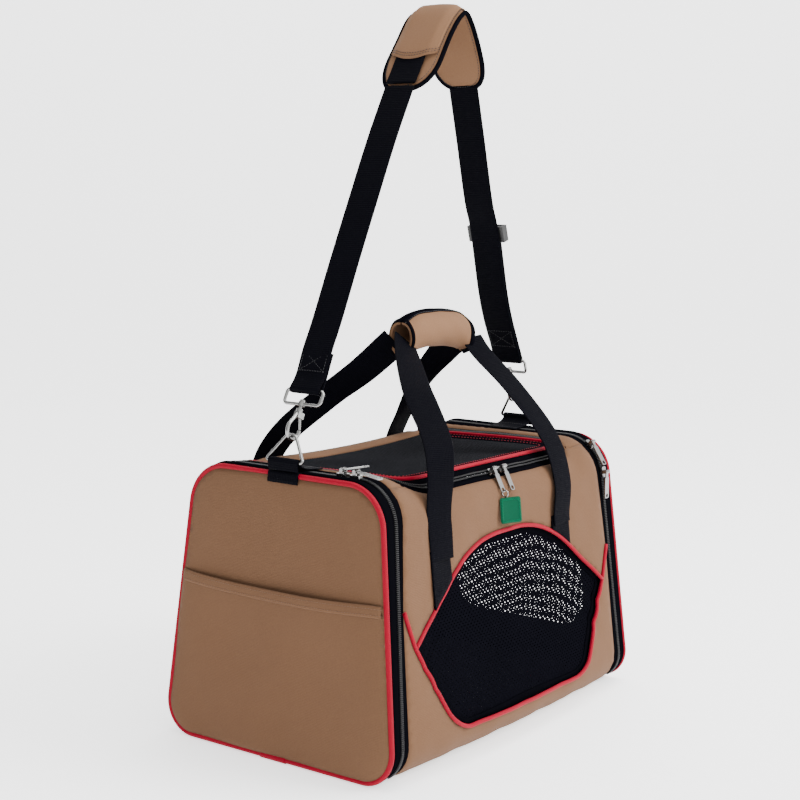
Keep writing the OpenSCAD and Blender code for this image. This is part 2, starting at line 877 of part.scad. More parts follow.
base_panel();
base_board();
floor_mat();
front_lower_panel();
back_lower_panel();
front_upper_panel();
back_upper_panel();
top_panel();
front_window_mesh();
back_window_mesh();
front_piping();
back_piping();
end_body_tapes();
flap_body_tape();
ring_tabs();
handle_strips();
left_end_panel();
left_pocket();
left_piping();
left_outer_tape();
left_frame_wire();
left_tab_patch();
right_end_panel();
right_window_mesh();
right_piping();
right_outer_tape();
right_frame_wire();
right_tab_patch();
flap_mesh();
flap_binding();
flap_piping();
flap_tape();
top_slider_left();
top_puller_left();
top_slider_right();
top_puller_right();
name_tag();
left_slider_rear();
left_puller_rear();
left_slider_front();
left_puller_front();
right_slider_high();
right_puller_high();
right_slider_low();
right_puller_low();
front_handle_webbing();
front_grip();
back_handle_webbing();
back_grip();
strap_webbing();
shoulder_pad();
strap_adjuster();
strap_loops();
left_hook();
left_gate();
right_hook();
right_gate();
left_ring();
right_ring();
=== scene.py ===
"""Looks of the soft-sided pet carrier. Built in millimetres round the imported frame."""

import math

import bpy
import numpy as np
from mathutils import Matrix, Vector, geometry


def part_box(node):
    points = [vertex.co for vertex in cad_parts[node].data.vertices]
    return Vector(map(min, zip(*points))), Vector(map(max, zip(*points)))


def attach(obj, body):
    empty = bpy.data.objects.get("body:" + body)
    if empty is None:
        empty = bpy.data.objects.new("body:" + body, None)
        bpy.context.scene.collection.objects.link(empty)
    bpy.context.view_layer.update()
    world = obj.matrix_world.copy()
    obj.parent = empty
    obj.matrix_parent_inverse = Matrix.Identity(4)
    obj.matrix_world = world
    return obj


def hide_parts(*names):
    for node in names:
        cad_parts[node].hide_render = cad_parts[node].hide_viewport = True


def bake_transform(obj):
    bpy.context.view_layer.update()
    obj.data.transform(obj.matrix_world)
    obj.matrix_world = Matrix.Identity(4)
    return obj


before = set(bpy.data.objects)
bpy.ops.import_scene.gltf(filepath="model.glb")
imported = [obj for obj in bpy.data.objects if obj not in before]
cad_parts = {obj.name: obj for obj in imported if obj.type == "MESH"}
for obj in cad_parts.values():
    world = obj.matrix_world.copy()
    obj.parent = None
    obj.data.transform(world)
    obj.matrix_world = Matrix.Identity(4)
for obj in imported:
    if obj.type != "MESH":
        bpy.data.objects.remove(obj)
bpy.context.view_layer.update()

MM = 0.001


def box_mm(node):
    """Lowest and highest corner of a CAD node in millimetres."""
    low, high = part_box(node)
    return np.array(low) / MM, np.array(high) / MM


# ---- sizes of the frame, in millimetres ----

SHELL_IN = 2.0
PIPING_IN = 3.6
RIM_H = 287.0
TOP_H = box_mm("top_panel")[1][2] + SHELL_IN
BASE_W = 300.0
RIM_W = 241.0
LOW_R = 36.0
TOP_R = 47.0
END_LEAN = 16.0
END_X = 226.0
SEAM_FOOT = 201.0
SEAM_RIM = 178.0
TAPE_FOOT = 222.6
TAPE_RIM = 206.6
SILL_Z = 35.0
SEAM_Z = 163.0
SILL_HALF = 126.0
ARCH_Z = 212.0
ARCH_HALF = 178.0
ARCH_SLOPE = 0.785
POCKET_Z = 174.0
FLAP_HALF = 150.0
NET_STRETCH = 1.7
PANEL_THICK = 2.2
PIPING_R = 2.15
DOOR_IN = 5.2
FLAP_FRONT = 96.0
FLAP_BACK = 100.0
FLAP_R = 28.0
STRAP_W = 38.0
HANDLE_W = 32.0
ENDS = (("left", -1), ("right", 1))
LONG_SIDES = (("front", -1), ("back", 1))
TOOTH = (1.15, 2.3, 1.3)
ALONG = np.array([(1.0, 0.0, 0.0)])
ACROSS = np.array([(0.0, 1.0, 0.0)])
SIDE = math.atan((BASE_W - RIM_W) / 2 / RIM_H)
LEAN = math.atan(END_LEAN / RIM_H)
GRIP_Z = (box_mm("front_grip")[0][2] + box_mm("front_grip")[1][2]) / 2
GRIP_LEFT = box_mm("front_grip")[0][0]
GRIP_RIGHT = box_mm("front_grip")[1][0]


# ---- small maths ----

def smooth(value, low, high):
    """0 up to low, 1 from high on, and a soft ramp between."""
    t = np.clip((np.asarray(value, float) - low) / (high - low), 0, 1)
    return t * t * (3 - 2 * t)


def unit(v):
    v = np.asarray(v, float)
    return v / np.linalg.norm(v, axis=-1, keepdims=True)


def xyz(x, y, z):
    """Points from coordinates, any of which may be a single number."""
    return np.stack(np.broadcast_arrays(x, y, z), -1).astype(float)


def tangents(path):
    """Unit direction of an open path at each of its points."""
    return unit(np.gradient(path, axis=0))


def lengths(path):
    """Distance along a path at each of its points."""
    return np.concatenate([[0], np.cumsum(np.linalg.norm(np.diff(path, axis=0), axis=1))])


def even(path, step, closed=False):
    """The path resampled at an even step; a closed path doesn't repeat its first point."""
    path = np.asarray(path, float)
    if closed:
        path = np.vstack([path, path[:1]])
    length = lengths(path)
    count = max(int(round(length[-1] / step)), 2)
    at = np.linspace(0, length[-1], count + 1)
    out = np.stack([np.interp(at, length, path[:, k]) for k in range(path.shape[1])], 1)
    return out[:-1] if closed else out


def spline(points, step):
    """Even points on a Catmull-Rom curve through the given points."""
    p = np.asarray(points, float)
    p = np.vstack([2 * p[0] - p[1], p, 2 * p[-1] - p[-2]])
    u = np.linspace(0, 1, 12, endpoint=False)[:, None]
    out = []
    for a, b, c, d in zip(p[:-3], p[1:-2], p[2:-1], p[3:]):
        out.append(0.5 * (2 * b + (c - a) * u + (2 * a - 5 * b + 4 * c - d) * u ** 2
                          + (3 * b - a - 3 * c + d) * u ** 3))
    out.append(p[-2:-1])
    return even(np.vstack(out), step)


def rounded(points, radius, closed=False):
    """A bent line with round bends."""
    pts = [np.asarray(p, float) for p in points]
    out = []
    for i, b in enumerate(pts):
        if not closed and i in (0, len(pts) - 1):
            out.append(b)
            continue
        before = unit(pts[i - 1] - b)
        after = unit(pts[(i + 1) % len(pts)] - b)
        half = math.acos(float(np.clip(before @ after, -1, 1))) / 2
        start = b + before * radius / math.tan(half)
        stop = b + after * radius / math.tan(half)
        centre = b + unit(before + after) * radius / math.sin(half)
        for k in np.linspace(0, 1, 13):
            arm = unit((start - centre) * (1 - k) + (stop - centre) * k)
            out.append(centre + arm * radius)
    return np.array(out)


def inside(points, loop):
    """Which points lie inside a closed 2-D loop."""
    x, y = points[:, 0:1], points[:, 1:2]
    a, b = loop, np.roll(loop, -1, axis=0)
    spans = (a[:, 1] > y) != (b[:, 1] > y)
    rise = np.where(np.abs(b[:, 1] - a[:, 1]) < 1e-12, 1e-12, b[:, 1] - a[:, 1])
    cross = x < (b[:, 0] - a[:, 0]) * (y - a[:, 1]) / rise + a[:, 0]
    return (spans & cross).sum(1) % 2 == 1


def in_region(points, loops):
    """Which points lie inside the first loop and outside the rest."""
    keep = inside(points, loops[0])
    for hole in loops[1:]:
        keep &= ~inside(points, hole)
    return keep


def staggered(loops, step, row):
    """Points of a region in rows, every second row moved by half a step."""
    low, high = loops[0].min(0), loops[0].max(0)
    gx, gy = np.meshgrid(np.arange(low[0], high[0], step), np.arange(low[1], high[1], row))
    gx = gx + (np.arange(gx.shape[0])[:, None] % 2) * step / 2
    grid = np.stack([gx.ravel(), gy.ravel()], 1)
    return grid[in_region(grid, loops)]


def distance(points, loops):
    """Distance from each 2-D point to the nearest loop's edge."""
    best = np.full(len(points), 1e9)
    for loop in loops:
        a, b = loop, np.roll(loop, -1, axis=0)
        for p, q in zip(a, b):
            d = q - p
            k = np.clip(((points - p) @ d) / max(d @ d, 1e-12), 0, 1)
            best = np.minimum(best, np.linalg.norm(points - p - k[:, None] * d, axis=1))
    return best


# ---- the cabin's cross-section and its fabric ----

def corner_y(z, r):
    return BASE_W / 2 - (r + z * math.sin(SIDE)) / math.cos(SIDE)


class Girth:
    """Cross-section of the cabin. t runs round it in mm: 0 mid-top, negative in front."""

    def __init__(self, height, inset):
        low = np.array([corner_y(LOW_R, LOW_R), LOW_R])
        high = np.array([corner_y(height - TOP_R, TOP_R), height - TOP_R])
        pts = [np.array([0, height - inset])]
        for centre, r, a0, a1 in ((high, TOP_R - inset, math.pi / 2, SIDE),
                                  (low, LOW_R - inset, SIDE, -math.pi / 2)):
            for a in np.linspace(a0, a1, 60):
                pts.append(centre + r * np.array([math.cos(a), math.sin(a)]))
        pts.append(np.array([0, inset]))
        path = even(pts, 0.5)
        self.y, self.z = path.T
        self.t = lengths(path)
        tangent = tangents(path)
        self.ny, self.nz = -tangent[:, 1], tangent[:, 0]
        self.length = self.t[-1]
        self.base_t = self.length - low[0]

    def at(self, t):
        """Y, Z and the outward normal's Y and Z at t."""
        side, a = np.sign(t), np.abs(t)
        return (np.interp(a, self.t, self.y) * side, np.interp(a, self.t, self.z),
                np.interp(a, self.t, self.ny) * side, np.interp(a, self.t, self.nz))

    def t_of_z(self, z):
        return np.interp(-np.asarray(z, float), -self.z, self.t)

    def t_of_y(self, y):
        k = int(np.argmax(self.y))
        return np.interp(np.abs(y), self.y[:k], self.t[:k]) * np.sign(y)


CABIN = Girth(TOP_H, SHELL_IN)
RIM = Girth(RIM_H, SHELL_IN + 0.6)


def seam_x(z):
    """X of the seam between the cabin's fabric and the end zipper."""
    return np.interp(z, (0, 160, 230, RIM_H), (SEAM_FOOT, 194.0, 186.0, SEAM_RIM))


def coil_x(z):
    """X of the end zipper's teeth."""
    foot, rim = (SEAM_FOOT + TAPE_FOOT) / 2, (SEAM_RIM + TAPE_RIM) / 2
    return foot + (rim - foot) * np.asarray(z, float) / RIM_H


def tape_x(z):
    """X where the end zipper's outer tape meets the door's piping."""
    return TAPE_FOOT + (TAPE_RIM - TAPE_FOOT) * np.asarray(z, float) / RIM_H


def crease(x, t, start, stop, width, depth):
    """A soft groove in the fabric between two points (x, t)."""
    p, q = np.array(start, float), np.array(stop, float)
    d = q - p
    k = np.clip(((x - p[0]) * d[0] + (t - p[1]) * d[1]) / (d @ d), 0, 1)
    off = np.hypot(x - p[0] - k * d[0], t - p[1] - k * d[1])
    fade = 4 * k * (1 - k)
    return -depth * np.exp(-(off / width) ** 2) * fade


def folds(x, t):
    """Shallow waves and the creases that pull from the corners."""
    side = np.sign(t)
    waves = 0.55 * np.sin(0.041 * x + 0.023 * t + 1.3) * np.sin(0.047 * t + 2.1)
    waves += 0.35 * np.sin(0.083 * x - 0.052 * t)
    waves += 0.2 * np.sin(0.16 * x + 0.11 * t + 0.7)
    for s, depth in ((-1, 1.7), (1, 2.3)):
        waves += crease(x, t * side, (s * 128, 236), (s * 186, 300), 6, depth)
        waves += crease(x, t * side, (s * 120, 268), (s * 176, 322), 5, depth * 0.7)
        waves += crease(x, t * side, (s * 172, 96), (s * 120, 150), 9, depth * 0.6)
    return waves


BULGE_Z = (0, 18, 45, 80, 130, 175, 225, 262, 285)
BULGE = (0, 5, 10.5, 6.5, 1, -3.5, -5, 0, 0)


def skin(x, t, lift=0.0):
    """A point on the cabin's fabric, or lift mm outside it."""
    y, z, ny, nz = CABIN.at(t)
    middle = np.clip(1 - (x / 190.0) ** 2, 0, 1)
    off_base = smooth(CABIN.base_t - np.abs(t), -2, 25)
    push = (np.interp(z, BULGE_Z, BULGE) * middle + folds(x, t) * smooth(middle, 0, 0.3)) * off_base
    flat = 1 - smooth(np.abs(t), 60, 110)
    push = push * (1 - flat * 0.5)
    ridge = 3.4 * np.exp(-((t - 104.0) / 8.0) ** 2) * (1 - smooth(np.abs(x), 125, 160))
    rim_rise = 6.0 * smooth(np.abs(x), 140, 180) * smooth(z, 120, 279)
    sag = 8.0 * middle * smooth(t, -60, 95) * smooth(z, 150, 275)
    return xyz(x + 0 * t, y + ny * (push + lift), z + nz * (push + lift) + rim_rise - sag + ridge)


def door_point(side, y, z, out):
    """A point in a door's plane; side is -1 for the left door."""
    x = END_X - z * math.sin(LEAN) + out * math.cos(LEAN)
    return xyz(side * x, y, z * math.cos(LEAN) + out * math.sin(LEAN))


def end_loop(inset, step=4.0):
    """The whole end outline moved inward by inset, as Y and Z."""
    girth = Girth(RIM_H, inset)
    t = np.linspace(-girth.length, girth.length, int(2 * girth.length / step), endpoint=False)
    y, z, _, _ = girth.at(t)
    return np.stack([-y, z], 1)


# ---- mesh builders ----

def add_mesh(name, points, faces, look, body, uv=None):
    """A smooth-shaded piece that rides on a body; points and UV are in millimetres."""
    mesh = bpy.data.meshes.new(name)
    mesh.from_pydata((np.asarray(points, float) * MM).tolist(), [], faces)
    mesh.shade_smooth()
    if uv is not None:
        layer = mesh.uv_layers.new(name="UVMap")
        index = np.zeros(len(mesh.loops), int)
        mesh.loops.foreach_get("vertex_index", index)
        layer.data.foreach_set("uv", (np.asarray(uv, float) * MM)[index].ravel())
    material, slot = look
    mesh.materials.append(material)
    piece = bpy.data.objects.new(name, mesh)
    bpy.context.scene.collection.objects.link(piece)
    if body:
        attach(piece, body)
    return piece


def fill(loops, step):
    """Points and counter-clockwise triangles inside the first loop and outside the rest."""
    grid = staggered(loops, step, step)
    grid = grid[distance(grid, loops) > step * 0.45]
    verts = [Vector(p) for p in grid]
    edges = []
    for loop in loops:
        first = len(verts)
        verts += [Vector(p) for p in loop]
        edges += [(first + i, first + (i + 1) % len(loop)) for i in range(len(loop))]
    done = geometry.delaunay_2d_cdt(verts, edges, [], 0, 1e-6)
    pts = np.array([tuple(v) for v in done[0]])
    tris = np.array([f for f in done[2] if len(f) == 3])
    tris = tris[in_region(pts[tris].mean(1), loops)]
    a, b, c = pts[tris[:, 0]], pts[tris[:, 1]], pts[tris[:, 2]]
    turn = (b[:, 0] - a[:, 0]) * (c[:, 1] - a[:, 1]) - (b[:, 1] - a[:, 1]) * (c[:, 0] - a[:, 0])
    tris[turn < 0] = tris[turn < 0][:, ::-1]
    return pts, tris


def border(tris):
    """Directed edges that belong to one triangle only."""
    seen = {}
    for a, b, c in tris.tolist():
        for e in ((a, b), (b, c), (c, a)):
            seen[e] = True
    return [e for e in seen if (e[1], e[0]) not in seen]


def two_sided(tris, n):
    """Faces of a closed sheet of n flat points: its outer side, its inner side and its edge."""
    faces = [tuple(t) for t in tris.tolist()]
    faces += [(c + n, b + n, a + n) for a, b, c in tris.tolist()]
    return faces + [(b, a, a + n, b + n) for a, b in border(tris)]


def line_with(piece, material, first, count):
    """Gives a run of faces, such as the inner side of a panel, a second material."""
    piece.data.materials.append(material)
    index = np.zeros(len(piece.data.polygons), np.int32)
    index[first:first + count] = 1
    piece.data.polygons.foreach_set("material_index", index)


def cloth(name, loops, place, thick, look, body,
          step=6.0, swell=0.0, reach=8.0, flip=False, lining=None):
    """Fabric over a region. place(u, v, lift) puts it in space; it swells away from its edges."""
    flat, tris = fill([np.asarray(loop, float) for loop in loops], step)
    rise = swell * (1 - np.exp(-distance(flat, loops) / reach))
    outer = place(*flat.T, rise)
    inner = place(*flat.T, rise - thick)
    faces = two_sided(tris, len(flat))
    if flip:
        faces = [f[::-1] for f in faces]
    piece = add_mesh(name, np.vstack([outer, inner]), faces, look, body, np.vstack([flat, flat]))
    if lining:
        line_with(piece, lining, len(tris), len(faces) - len(tris))
    return piece


def strip(name, rows, thick, look, body, closed=False, reach=(0, 0, 140)):
    """Fabric between rows of points; its outer side faces away from the point called reach."""
    grid = np.stack(rows)
    if closed:
        du = np.roll(grid, -1, 1) - np.roll(grid, 1, 1)
    else:
        du = np.gradient(grid, axis=1)
    normal = unit(np.cross(du, np.gradient(grid, axis=0)))
    flip = ((normal * (grid - np.array(reach))).sum(-1)).mean() < 0
    if flip:
        normal = -normal
    k, n = grid.shape[:2]
    pts = np.concatenate([grid, grid - normal * thick]).reshape(-1, 3)
    width = lengths(grid[:, n // 2])
    length = lengths(grid[0])
    uv = np.stack(np.meshgrid(width, length, indexing="ij"), -1).reshape(-1, 2)
    faces = []
    inner = k * n
    for i in range(n if closed else n - 1):
        j = (i + 1) % n
        for r in range(k - 1):
            a, b, c, d = r * n + i, r * n + j, (r + 1) * n + j, (r + 1) * n + i
            faces.append((a, b, c, d))
            faces.append((d + inner, c + inner, b + inner, a + inner))
        faces.append((j, i, i + inner, j + inner))
        a, b = (k - 1) * n + i, (k - 1) * n + j
        faces.append((a, b, b + inner, a + inner))
    if not closed:
        for r in range(k - 1):
            a, d = r * n, (r + 1) * n
            faces.append((a, d, d + inner, a + inner))
            b, c = a + n - 1, d + n - 1
            faces.append((c, b, b + inner, c + inner))
    if flip:
        faces = [f[::-1] for f in faces]
    return add_mesh(name, pts, faces, look, body, np.vstack([uv, uv]))


def pillow(name, loop, place, swell, look, body, step, reach):
    """Closed padded form: two faces that meet along the loop."""
    loop = np.asarray(loop, float)
    flat, tris = fill([loop], step)
    rise = swell * (1 - np.exp(-distance(flat, [loop]) / reach)) + 0.25
    points = np.vstack([place(*flat.T, rise), place(*flat.T, -rise)])
    return add_mesh(name, points, two_sided(tris, len(flat)), look, body, np.vstack([flat, flat]))


def frames(path, closed, up):
    """Two directions across a path at each of its points; the second is the nearer to up."""
    tangent = unit(np.roll(path, -1, 0) - np.roll(path, 1, 0)) if closed else tangents(path)
    side = unit(np.cross(tangent, up))
    return side, np.cross(side, tangent)


def sweep(name, path, section, look, body, closed=False, up=(0, 0, 1)):
    """A closed cross-section (across, up) carried along a path; ends are capped."""
    side, top = frames(path, closed, up)
    pts = path[:, None] + side[:, None] * section[None, :, 0:1] + top[:, None] * section[None, :, 1:2]
    n, m = len(path), len(section)
    length = lengths(path)
    round_section = lengths(section)
    uv = np.stack(np.meshgrid(round_section, length), -1).reshape(-1, 2)
    faces = []
    for i in range(n if closed else n - 1):
        j = (i + 1) % n
        faces += [(i * m + k, i * m + (k + 1) % m, j * m + (k + 1) % m, j * m + k) for k in range(m)]
    if not closed:
        faces.append(tuple(range(m))[::-1])
        faces.append(tuple((n - 1) * m + k for k in range(m)))
    return add_mesh(name, pts.reshape(-1, 3), faces, look, body, uv)


def ring_section(r, sides=12, flat=1.0):
    a = np.linspace(0, 2 * math.pi, sides, endpoint=False)
    return np.stack([r * np.cos(a), r * flat * np.sin(a)], 1)


def band_section(width, thick):
    """Webbing's cross-section: flat with soft edges and a slightly raised middle."""
    w, h = width / 2, thick / 2
    top = [(-w, 0), (-w + 0.5, h * 0.8), (-w + 1.6, h), (-w * 0.3, h * 1.1), (w * 0.3, h * 1.1),
           (w - 1.6, h), (w - 0.5, h * 0.8), (w, 0)]
    return np.array(top + [(x, -y) for x, y in top[-2:0:-1]])[::-1]


def webbing(name, path, across, width, thick, look, body):
    """Flat webbing along a path; across gives its width direction, at each point or for all."""
    tangent = tangents(path)
    across = unit(across - (across * tangent).sum(1, keepdims=True) * tangent)
    return sweep(name, path, band_section(width, thick), look, body,
                 up=np.cross(across, tangent))


def hex_net(name, loop, place, pitch, open_share, look, body):
    """Mesh fabric: hexagonal cells with real holes, inside a 2-D loop."""
    centres = staggered([np.asarray(loop, float)], pitch, pitch * math.sqrt(3) / 2)
    a = np.radians(90 + 60 * np.arange(6))
    arms = np.stack([np.cos(a), np.sin(a)], 1) * pitch / math.sqrt(3)
    outer = (centres[:, None] + arms).reshape(-1, 2)
    key, index = np.unique(np.round(outer / (pitch / 12)).astype(int), axis=0, return_inverse=True)
    index = index.reshape(-1, 6)
    shared = key * (pitch / 12)
    inner = (centres[:, None] + arms * open_share).reshape(-1, 2)
    first = len(shared) + np.arange(len(centres))[:, None] * 6 + np.arange(6)
    faces = []
    for k in range(6):
        j = (k + 1) % 6
        faces.append(np.stack([index[:, k], index[:, j], first[:, j], first[:, k]], 1))
    flat = np.vstack([shared, inner])
    return add_mesh(name, place(*flat.T, 0.0), np.vstack(faces).tolist(),
                    look, body, flat)


def blocks(name, centres, along, across, size, look, body):
    """Many small bricks with chamfered tops, such as zipper teeth or stitches."""
    across = unit(across)
    up = np.cross(along, across)
    half = np.array(size) / 2
    low = np.array([(-1, -1, -1), (1, -1, -1), (1, 1, -1), (-1, 1, -1)])
    corner = np.vstack([low * half, low * half * (0.6, 0.7, -1)])
    pts = (centres[:, None] + along[:, None] * corner[None, :, 0:1]
           + across[:, None] * corner[None, :, 1:2] + up[:, None] * corner[None, :, 2:3])
    quads = np.array([(3, 2, 1, 0), (4, 5, 6, 7), (0, 1, 5, 4), (1, 2, 6, 5), (2, 3, 7, 6), (3, 0, 4, 7)])
    faces = (np.arange(len(centres))[:, None, None] * 8 + quads).reshape(-1, 4)
    return add_mesh(name, pts.reshape(-1, 3), faces.tolist(), look, body)


def stitches(name, path, normal, look, body, pitch=3.2, length=2.2, width=0.55, closed=False):
    """A row of thread stitches along a path, lying on the fabric."""
    at = even(path, pitch, closed)
    along = tangents(at)
    return blocks(name, at, along, np.cross(normal, along), (length, width, 0.5), look, body)


# ---- materials ----

class Finish:
    """A node material being built."""

    def __init__(self, name, colour, rough, metal=0.0, sheen=0.0, gloss=0.5):
        self.material = bpy.data.materials.new(name)
        self.material.use_nodes = True
        self.nodes = self.material.node_tree.nodes
        self.links = self.material.node_tree.links
        self.shader = self.nodes["Principled BSDF"]
        looks = {"Roughness": rough, "Metallic": metal, "Sheen Weight": sheen, "Sheen Roughness": 0.45,
                 "Specular IOR Level": gloss}
        for key, value in looks.items():
            self.shader.inputs[key].default_value = value
        self.coords = self.nodes.new("ShaderNodeTexCoord")
        self.colour = self.nodes.new("ShaderNodeRGB").outputs[0]
        self.colour.default_value = (*colour, 1)

    def add(self, kind, inputs, **settings):
        """A new node; each input takes a value or a link from a socket."""
        node = self.nodes.new(kind)
        for key, value in settings.items():
            setattr(node, key, value)
        for key, value in inputs.items():
            if isinstance(value, bpy.types.NodeSocket):
                self.links.new(value, node.inputs[key])
            else:
                node.inputs[key].default_value = value
        return node

    def noise(self, scale, detail=3.0):
        node = self.add("ShaderNodeTexNoise", {"Scale": scale, "Detail": detail,
                                               "Vector": self.coords.outputs["Object"]})
        return node.outputs["Fac"]

    def bands(self, period, direction, loose=0.0):
        """Stripes across the piece's UV, one to each period in millimetres."""
        node = self.add("ShaderNodeTexWave",
                        {"Scale": 0.314 / (period * MM), "Distortion": loose, "Detail Scale": 0.6,
                         "Vector": self.coords.outputs["UV"]},
                        wave_type="BANDS", bands_direction=direction)
        return node.outputs["Fac"]

    def maths(self, kind, a, b):
        return self.add("ShaderNodeMath", {0: a, 1: b}, operation=kind).outputs[0]

    def span(self, factor, low, high):
        node = self.add("ShaderNodeMapRange", {"To Min": low, "To Max": high, "Value": factor})
        return node.outputs[0]

    def vary(self, factor, low, high):
        """Multiplies the colour by a value that runs from low to high with factor."""
        level = self.span(factor, low, high)
        mix = self.add("ShaderNodeMix", {"Factor": 1.0, "A": self.colour, "B": level},
                       data_type="RGBA", blend_type="MULTIPLY")
        self.colour = mix.outputs["Result"]

    def rough(self, factor, low, high):
        self.links.new(self.span(factor, low, high), self.shader.inputs["Roughness"])

    def bump(self, height, depth, strength=1.0):
        node = self.add("ShaderNodeBump", {"Distance": depth * MM, "Strength": strength, "Height": height})
        self.links.new(node.outputs[0], self.shader.inputs["Normal"])

    def done(self):
        self.links.new(self.colour, self.shader.inputs["Base Color"])
        return self.material


def woven(name, colour, period, bump_mm, mottle=0.06, rough=0.85, sheen=0.03, gloss=0.06):
    """Plain-weave fabric whose threads run along and across the piece."""
    f = Finish(name, colour, rough, sheen=sheen, gloss=gloss)
    threads = f.maths("ADD", f.bands(period, "X", 2.5), f.bands(period, "Y", 2.5))
    threads = f.maths("MULTIPLY", threads, 0.5)
    f.vary(f.noise(9.0, 4.0), 1 - mottle, 1 + mottle)
    f.vary(f.noise(700.0, 2.0), 0.88, 1.12)
    f.vary(threads, 0.94, 1.05)
    f.rough(f.noise(60.0), rough - 0.07, min(rough + 0.07, 1.0))
    height = f.maths("ADD", threads, f.maths("MULTIPLY", f.noise(1100.0), 0.6))
    f.bump(height, bump_mm)
    return f.done()


def ribbed(name, colour, rib, bump_mm, rough=0.62, sheen=0.0, diagonal=False, gloss=0.02):
    """Webbing, tape or piping: ribs across its length and finer columns along it."""
    f = Finish(name, colour, rough, sheen=sheen, gloss=gloss)
    ribs = f.bands(rib, "DIAGONAL" if diagonal else "Y")
    columns = f.bands(rib * 0.8, "X")
    height = f.maths("ADD", ribs, f.maths("MULTIPLY", columns, 0.6))
    height = f.maths("MULTIPLY", height, 0.6)
    f.vary(height, 0.72, 1.25)
    f.vary(f.noise(35.0), 0.88, 1.12)
    f.rough(f.noise(200.0), rough - 0.1, rough + 0.12)
    f.bump(f.maths("ADD", height, f.maths("MULTIPLY", f.noise(900.0), 0.5)), bump_mm)
    return f.done()


def knitted(name, colour):
    """Dark polyester mesh thread."""
    f = Finish(name, colour, 0.8, gloss=0.0)
    f.vary(f.noise(420.0), 0.6, 1.5)
    f.vary(f.noise(14.0), 0.85, 1.2)
    f.bump(f.noise(1500.0), 0.15)
    return f.done()


def plated(name, colour, rough):
    """Nickel plate with faint handling marks."""
    f = Finish(name, colour, rough, metal=1.0)
    f.vary(f.noise(90.0, 5.0), 0.86, 1.06)
    f.rough(f.noise(240.0, 6.0), rough * 0.7, rough * 1.7)
    f.bump(f.noise(500.0, 4.0), 0.03, 0.6)
    return f.done()


def moulded(name, colour, rough):
    """Plastic with a fine spark-eroded grain."""
    f = Finish(name, colour, rough)
    f.vary(f.noise(60.0), 0.85, 1.15)
    f.rough(f.noise(350.0), rough - 0.1, rough + 0.12)
    f.bump(f.noise(1600.0, 2.0), 0.05)
    return f.done()


def fleece(name, colour):
    """Short pile with tufts."""
    f = Finish(name, colour, 0.95, sheen=0.03, gloss=0.05)
    f.vary(f.noise(160.0, 4.0), 0.6, 1.5)
    tufts = f.maths("ADD", f.noise(260.0, 4.0), f.maths("MULTIPLY", f.noise(900.0), 0.5))
    f.bump(tufts, 1.6)
    return f.done()


# A look is a material with the record's slot that it goes in.
TAN = woven("tan_oxford", (0.118, 0.062, 0.034), 1.5, 0.14), "tan_fabric"
TAN_TOP = woven("tan_padded", (0.168, 0.09, 0.049), 1.3, 0.16, 0.08), "grip_fabric"
LINING = woven("lining", (0.0025, 0.0025, 0.004), 1.6, 0.1, 0.1, 0.85, 0.0, 0.0)
MESH = knitted("mesh_thread", (0.0022, 0.0022, 0.0035)), "black_mesh"
# Painted light: the same black mesh thread made several times lighter for the flap on top, standing in for
# the light and sheen it catches from above.
FLAP_NET_PAINTED_LIGHT = knitted("flap_mesh_thread_painted_light", (0.017, 0.0175, 0.02)), "black_mesh"
RED = ribbed("red_piping_cloth", (0.24, 0.0004, 0.013), 0.9, 0.12, 0.6, 0.02, True, 0.08), "red_piping"
TAPE = ribbed("zipper_tape_cloth", (0.002, 0.002, 0.003), 1.0, 0.15, 0.85, gloss=0.0), "zipper_tape"
BINDING = ribbed("binding_grosgrain", (0.0026, 0.0026, 0.0042), 1.4, 0.25, 0.8, gloss=0.0), "black_binding"
WEBBING = ribbed("webbing_nylon", (0.0018, 0.0018, 0.0034), 2.1, 0.4, 0.62), "black_webbing"
HEM = TAPE[0], "black_binding"
TEETH = moulded("zipper_coil", (0.003, 0.003, 0.004), 0.62), "zipper_tape"
WEBBING_THREAD = moulded("black_thread", (0.008, 0.008, 0.011), 0.65), "black_webbing"
BINDING_THREAD = WEBBING_THREAD[0], "black_binding"
THREAD_TAN = moulded("tan_thread", (0.115, 0.058, 0.03), 0.75), "tan_fabric"
THREAD_RED = moulded("red_thread", (0.33, 0.004, 0.018), 0.65), "red_piping"
NICKEL = plated("nickel", (0.27, 0.27, 0.265), 0.2), "nickel_plate"
PLASTIC = moulded("black_acetal", (0.003, 0.003, 0.0035), 0.45)
BOARD = moulded("board", (0.02, 0.02, 0.02), 0.7)
FLEECE = fleece("mat_fleece", (0.006, 0.006, 0.009)), "floor_fleece"
TAG = woven("tag_weave", (0.0, 0.052, 0.024), 1.0, 0.15, 0.05, 0.7), "tag_label"
TAG_EDGE = woven("tag_border_weave", (0.002, 0.13, 0.06), 1.0, 0.15, 0.05, 0.7), "tag_label"


# ---- cabin panels and side windows ----

def seam_line():
    """Lower seam of a side window as X and Z, from one end zipper to the other."""
    half = np.array([(SILL_HALF, SILL_Z), (180.5, 128.5), (193.4, SEAM_Z)])
    left = half[::-1] * (-1, 1)
    return rounded([*left, *half], 45)


def arch_line():
    """Arch over a side window as X and Z, between its two crossings with the lower seam."""
    flat = ARCH_HALF - (ARCH_Z - 128) / ARCH_SLOPE
    return rounded([(-179, 127.2), (-flat, ARCH_Z), (flat, ARCH_Z), (179, 127.2)], 160)


def front(points):
    """A drawing of the front side, X and Z, as X and t."""
    points = np.asarray(points, float)
    return np.stack([points[:, 0], -CABIN.t_of_z(points[:, 1])], 1)


def up_the_seam(low, high, count=14):
    """Points up the right-hand end of the front between two heights."""
    z = np.linspace(low, high, count)
    return front(np.stack([seam_x(z), z], 1))


def turned(loop):
    """The same region on the other long side."""
    return -np.asarray(loop, float)


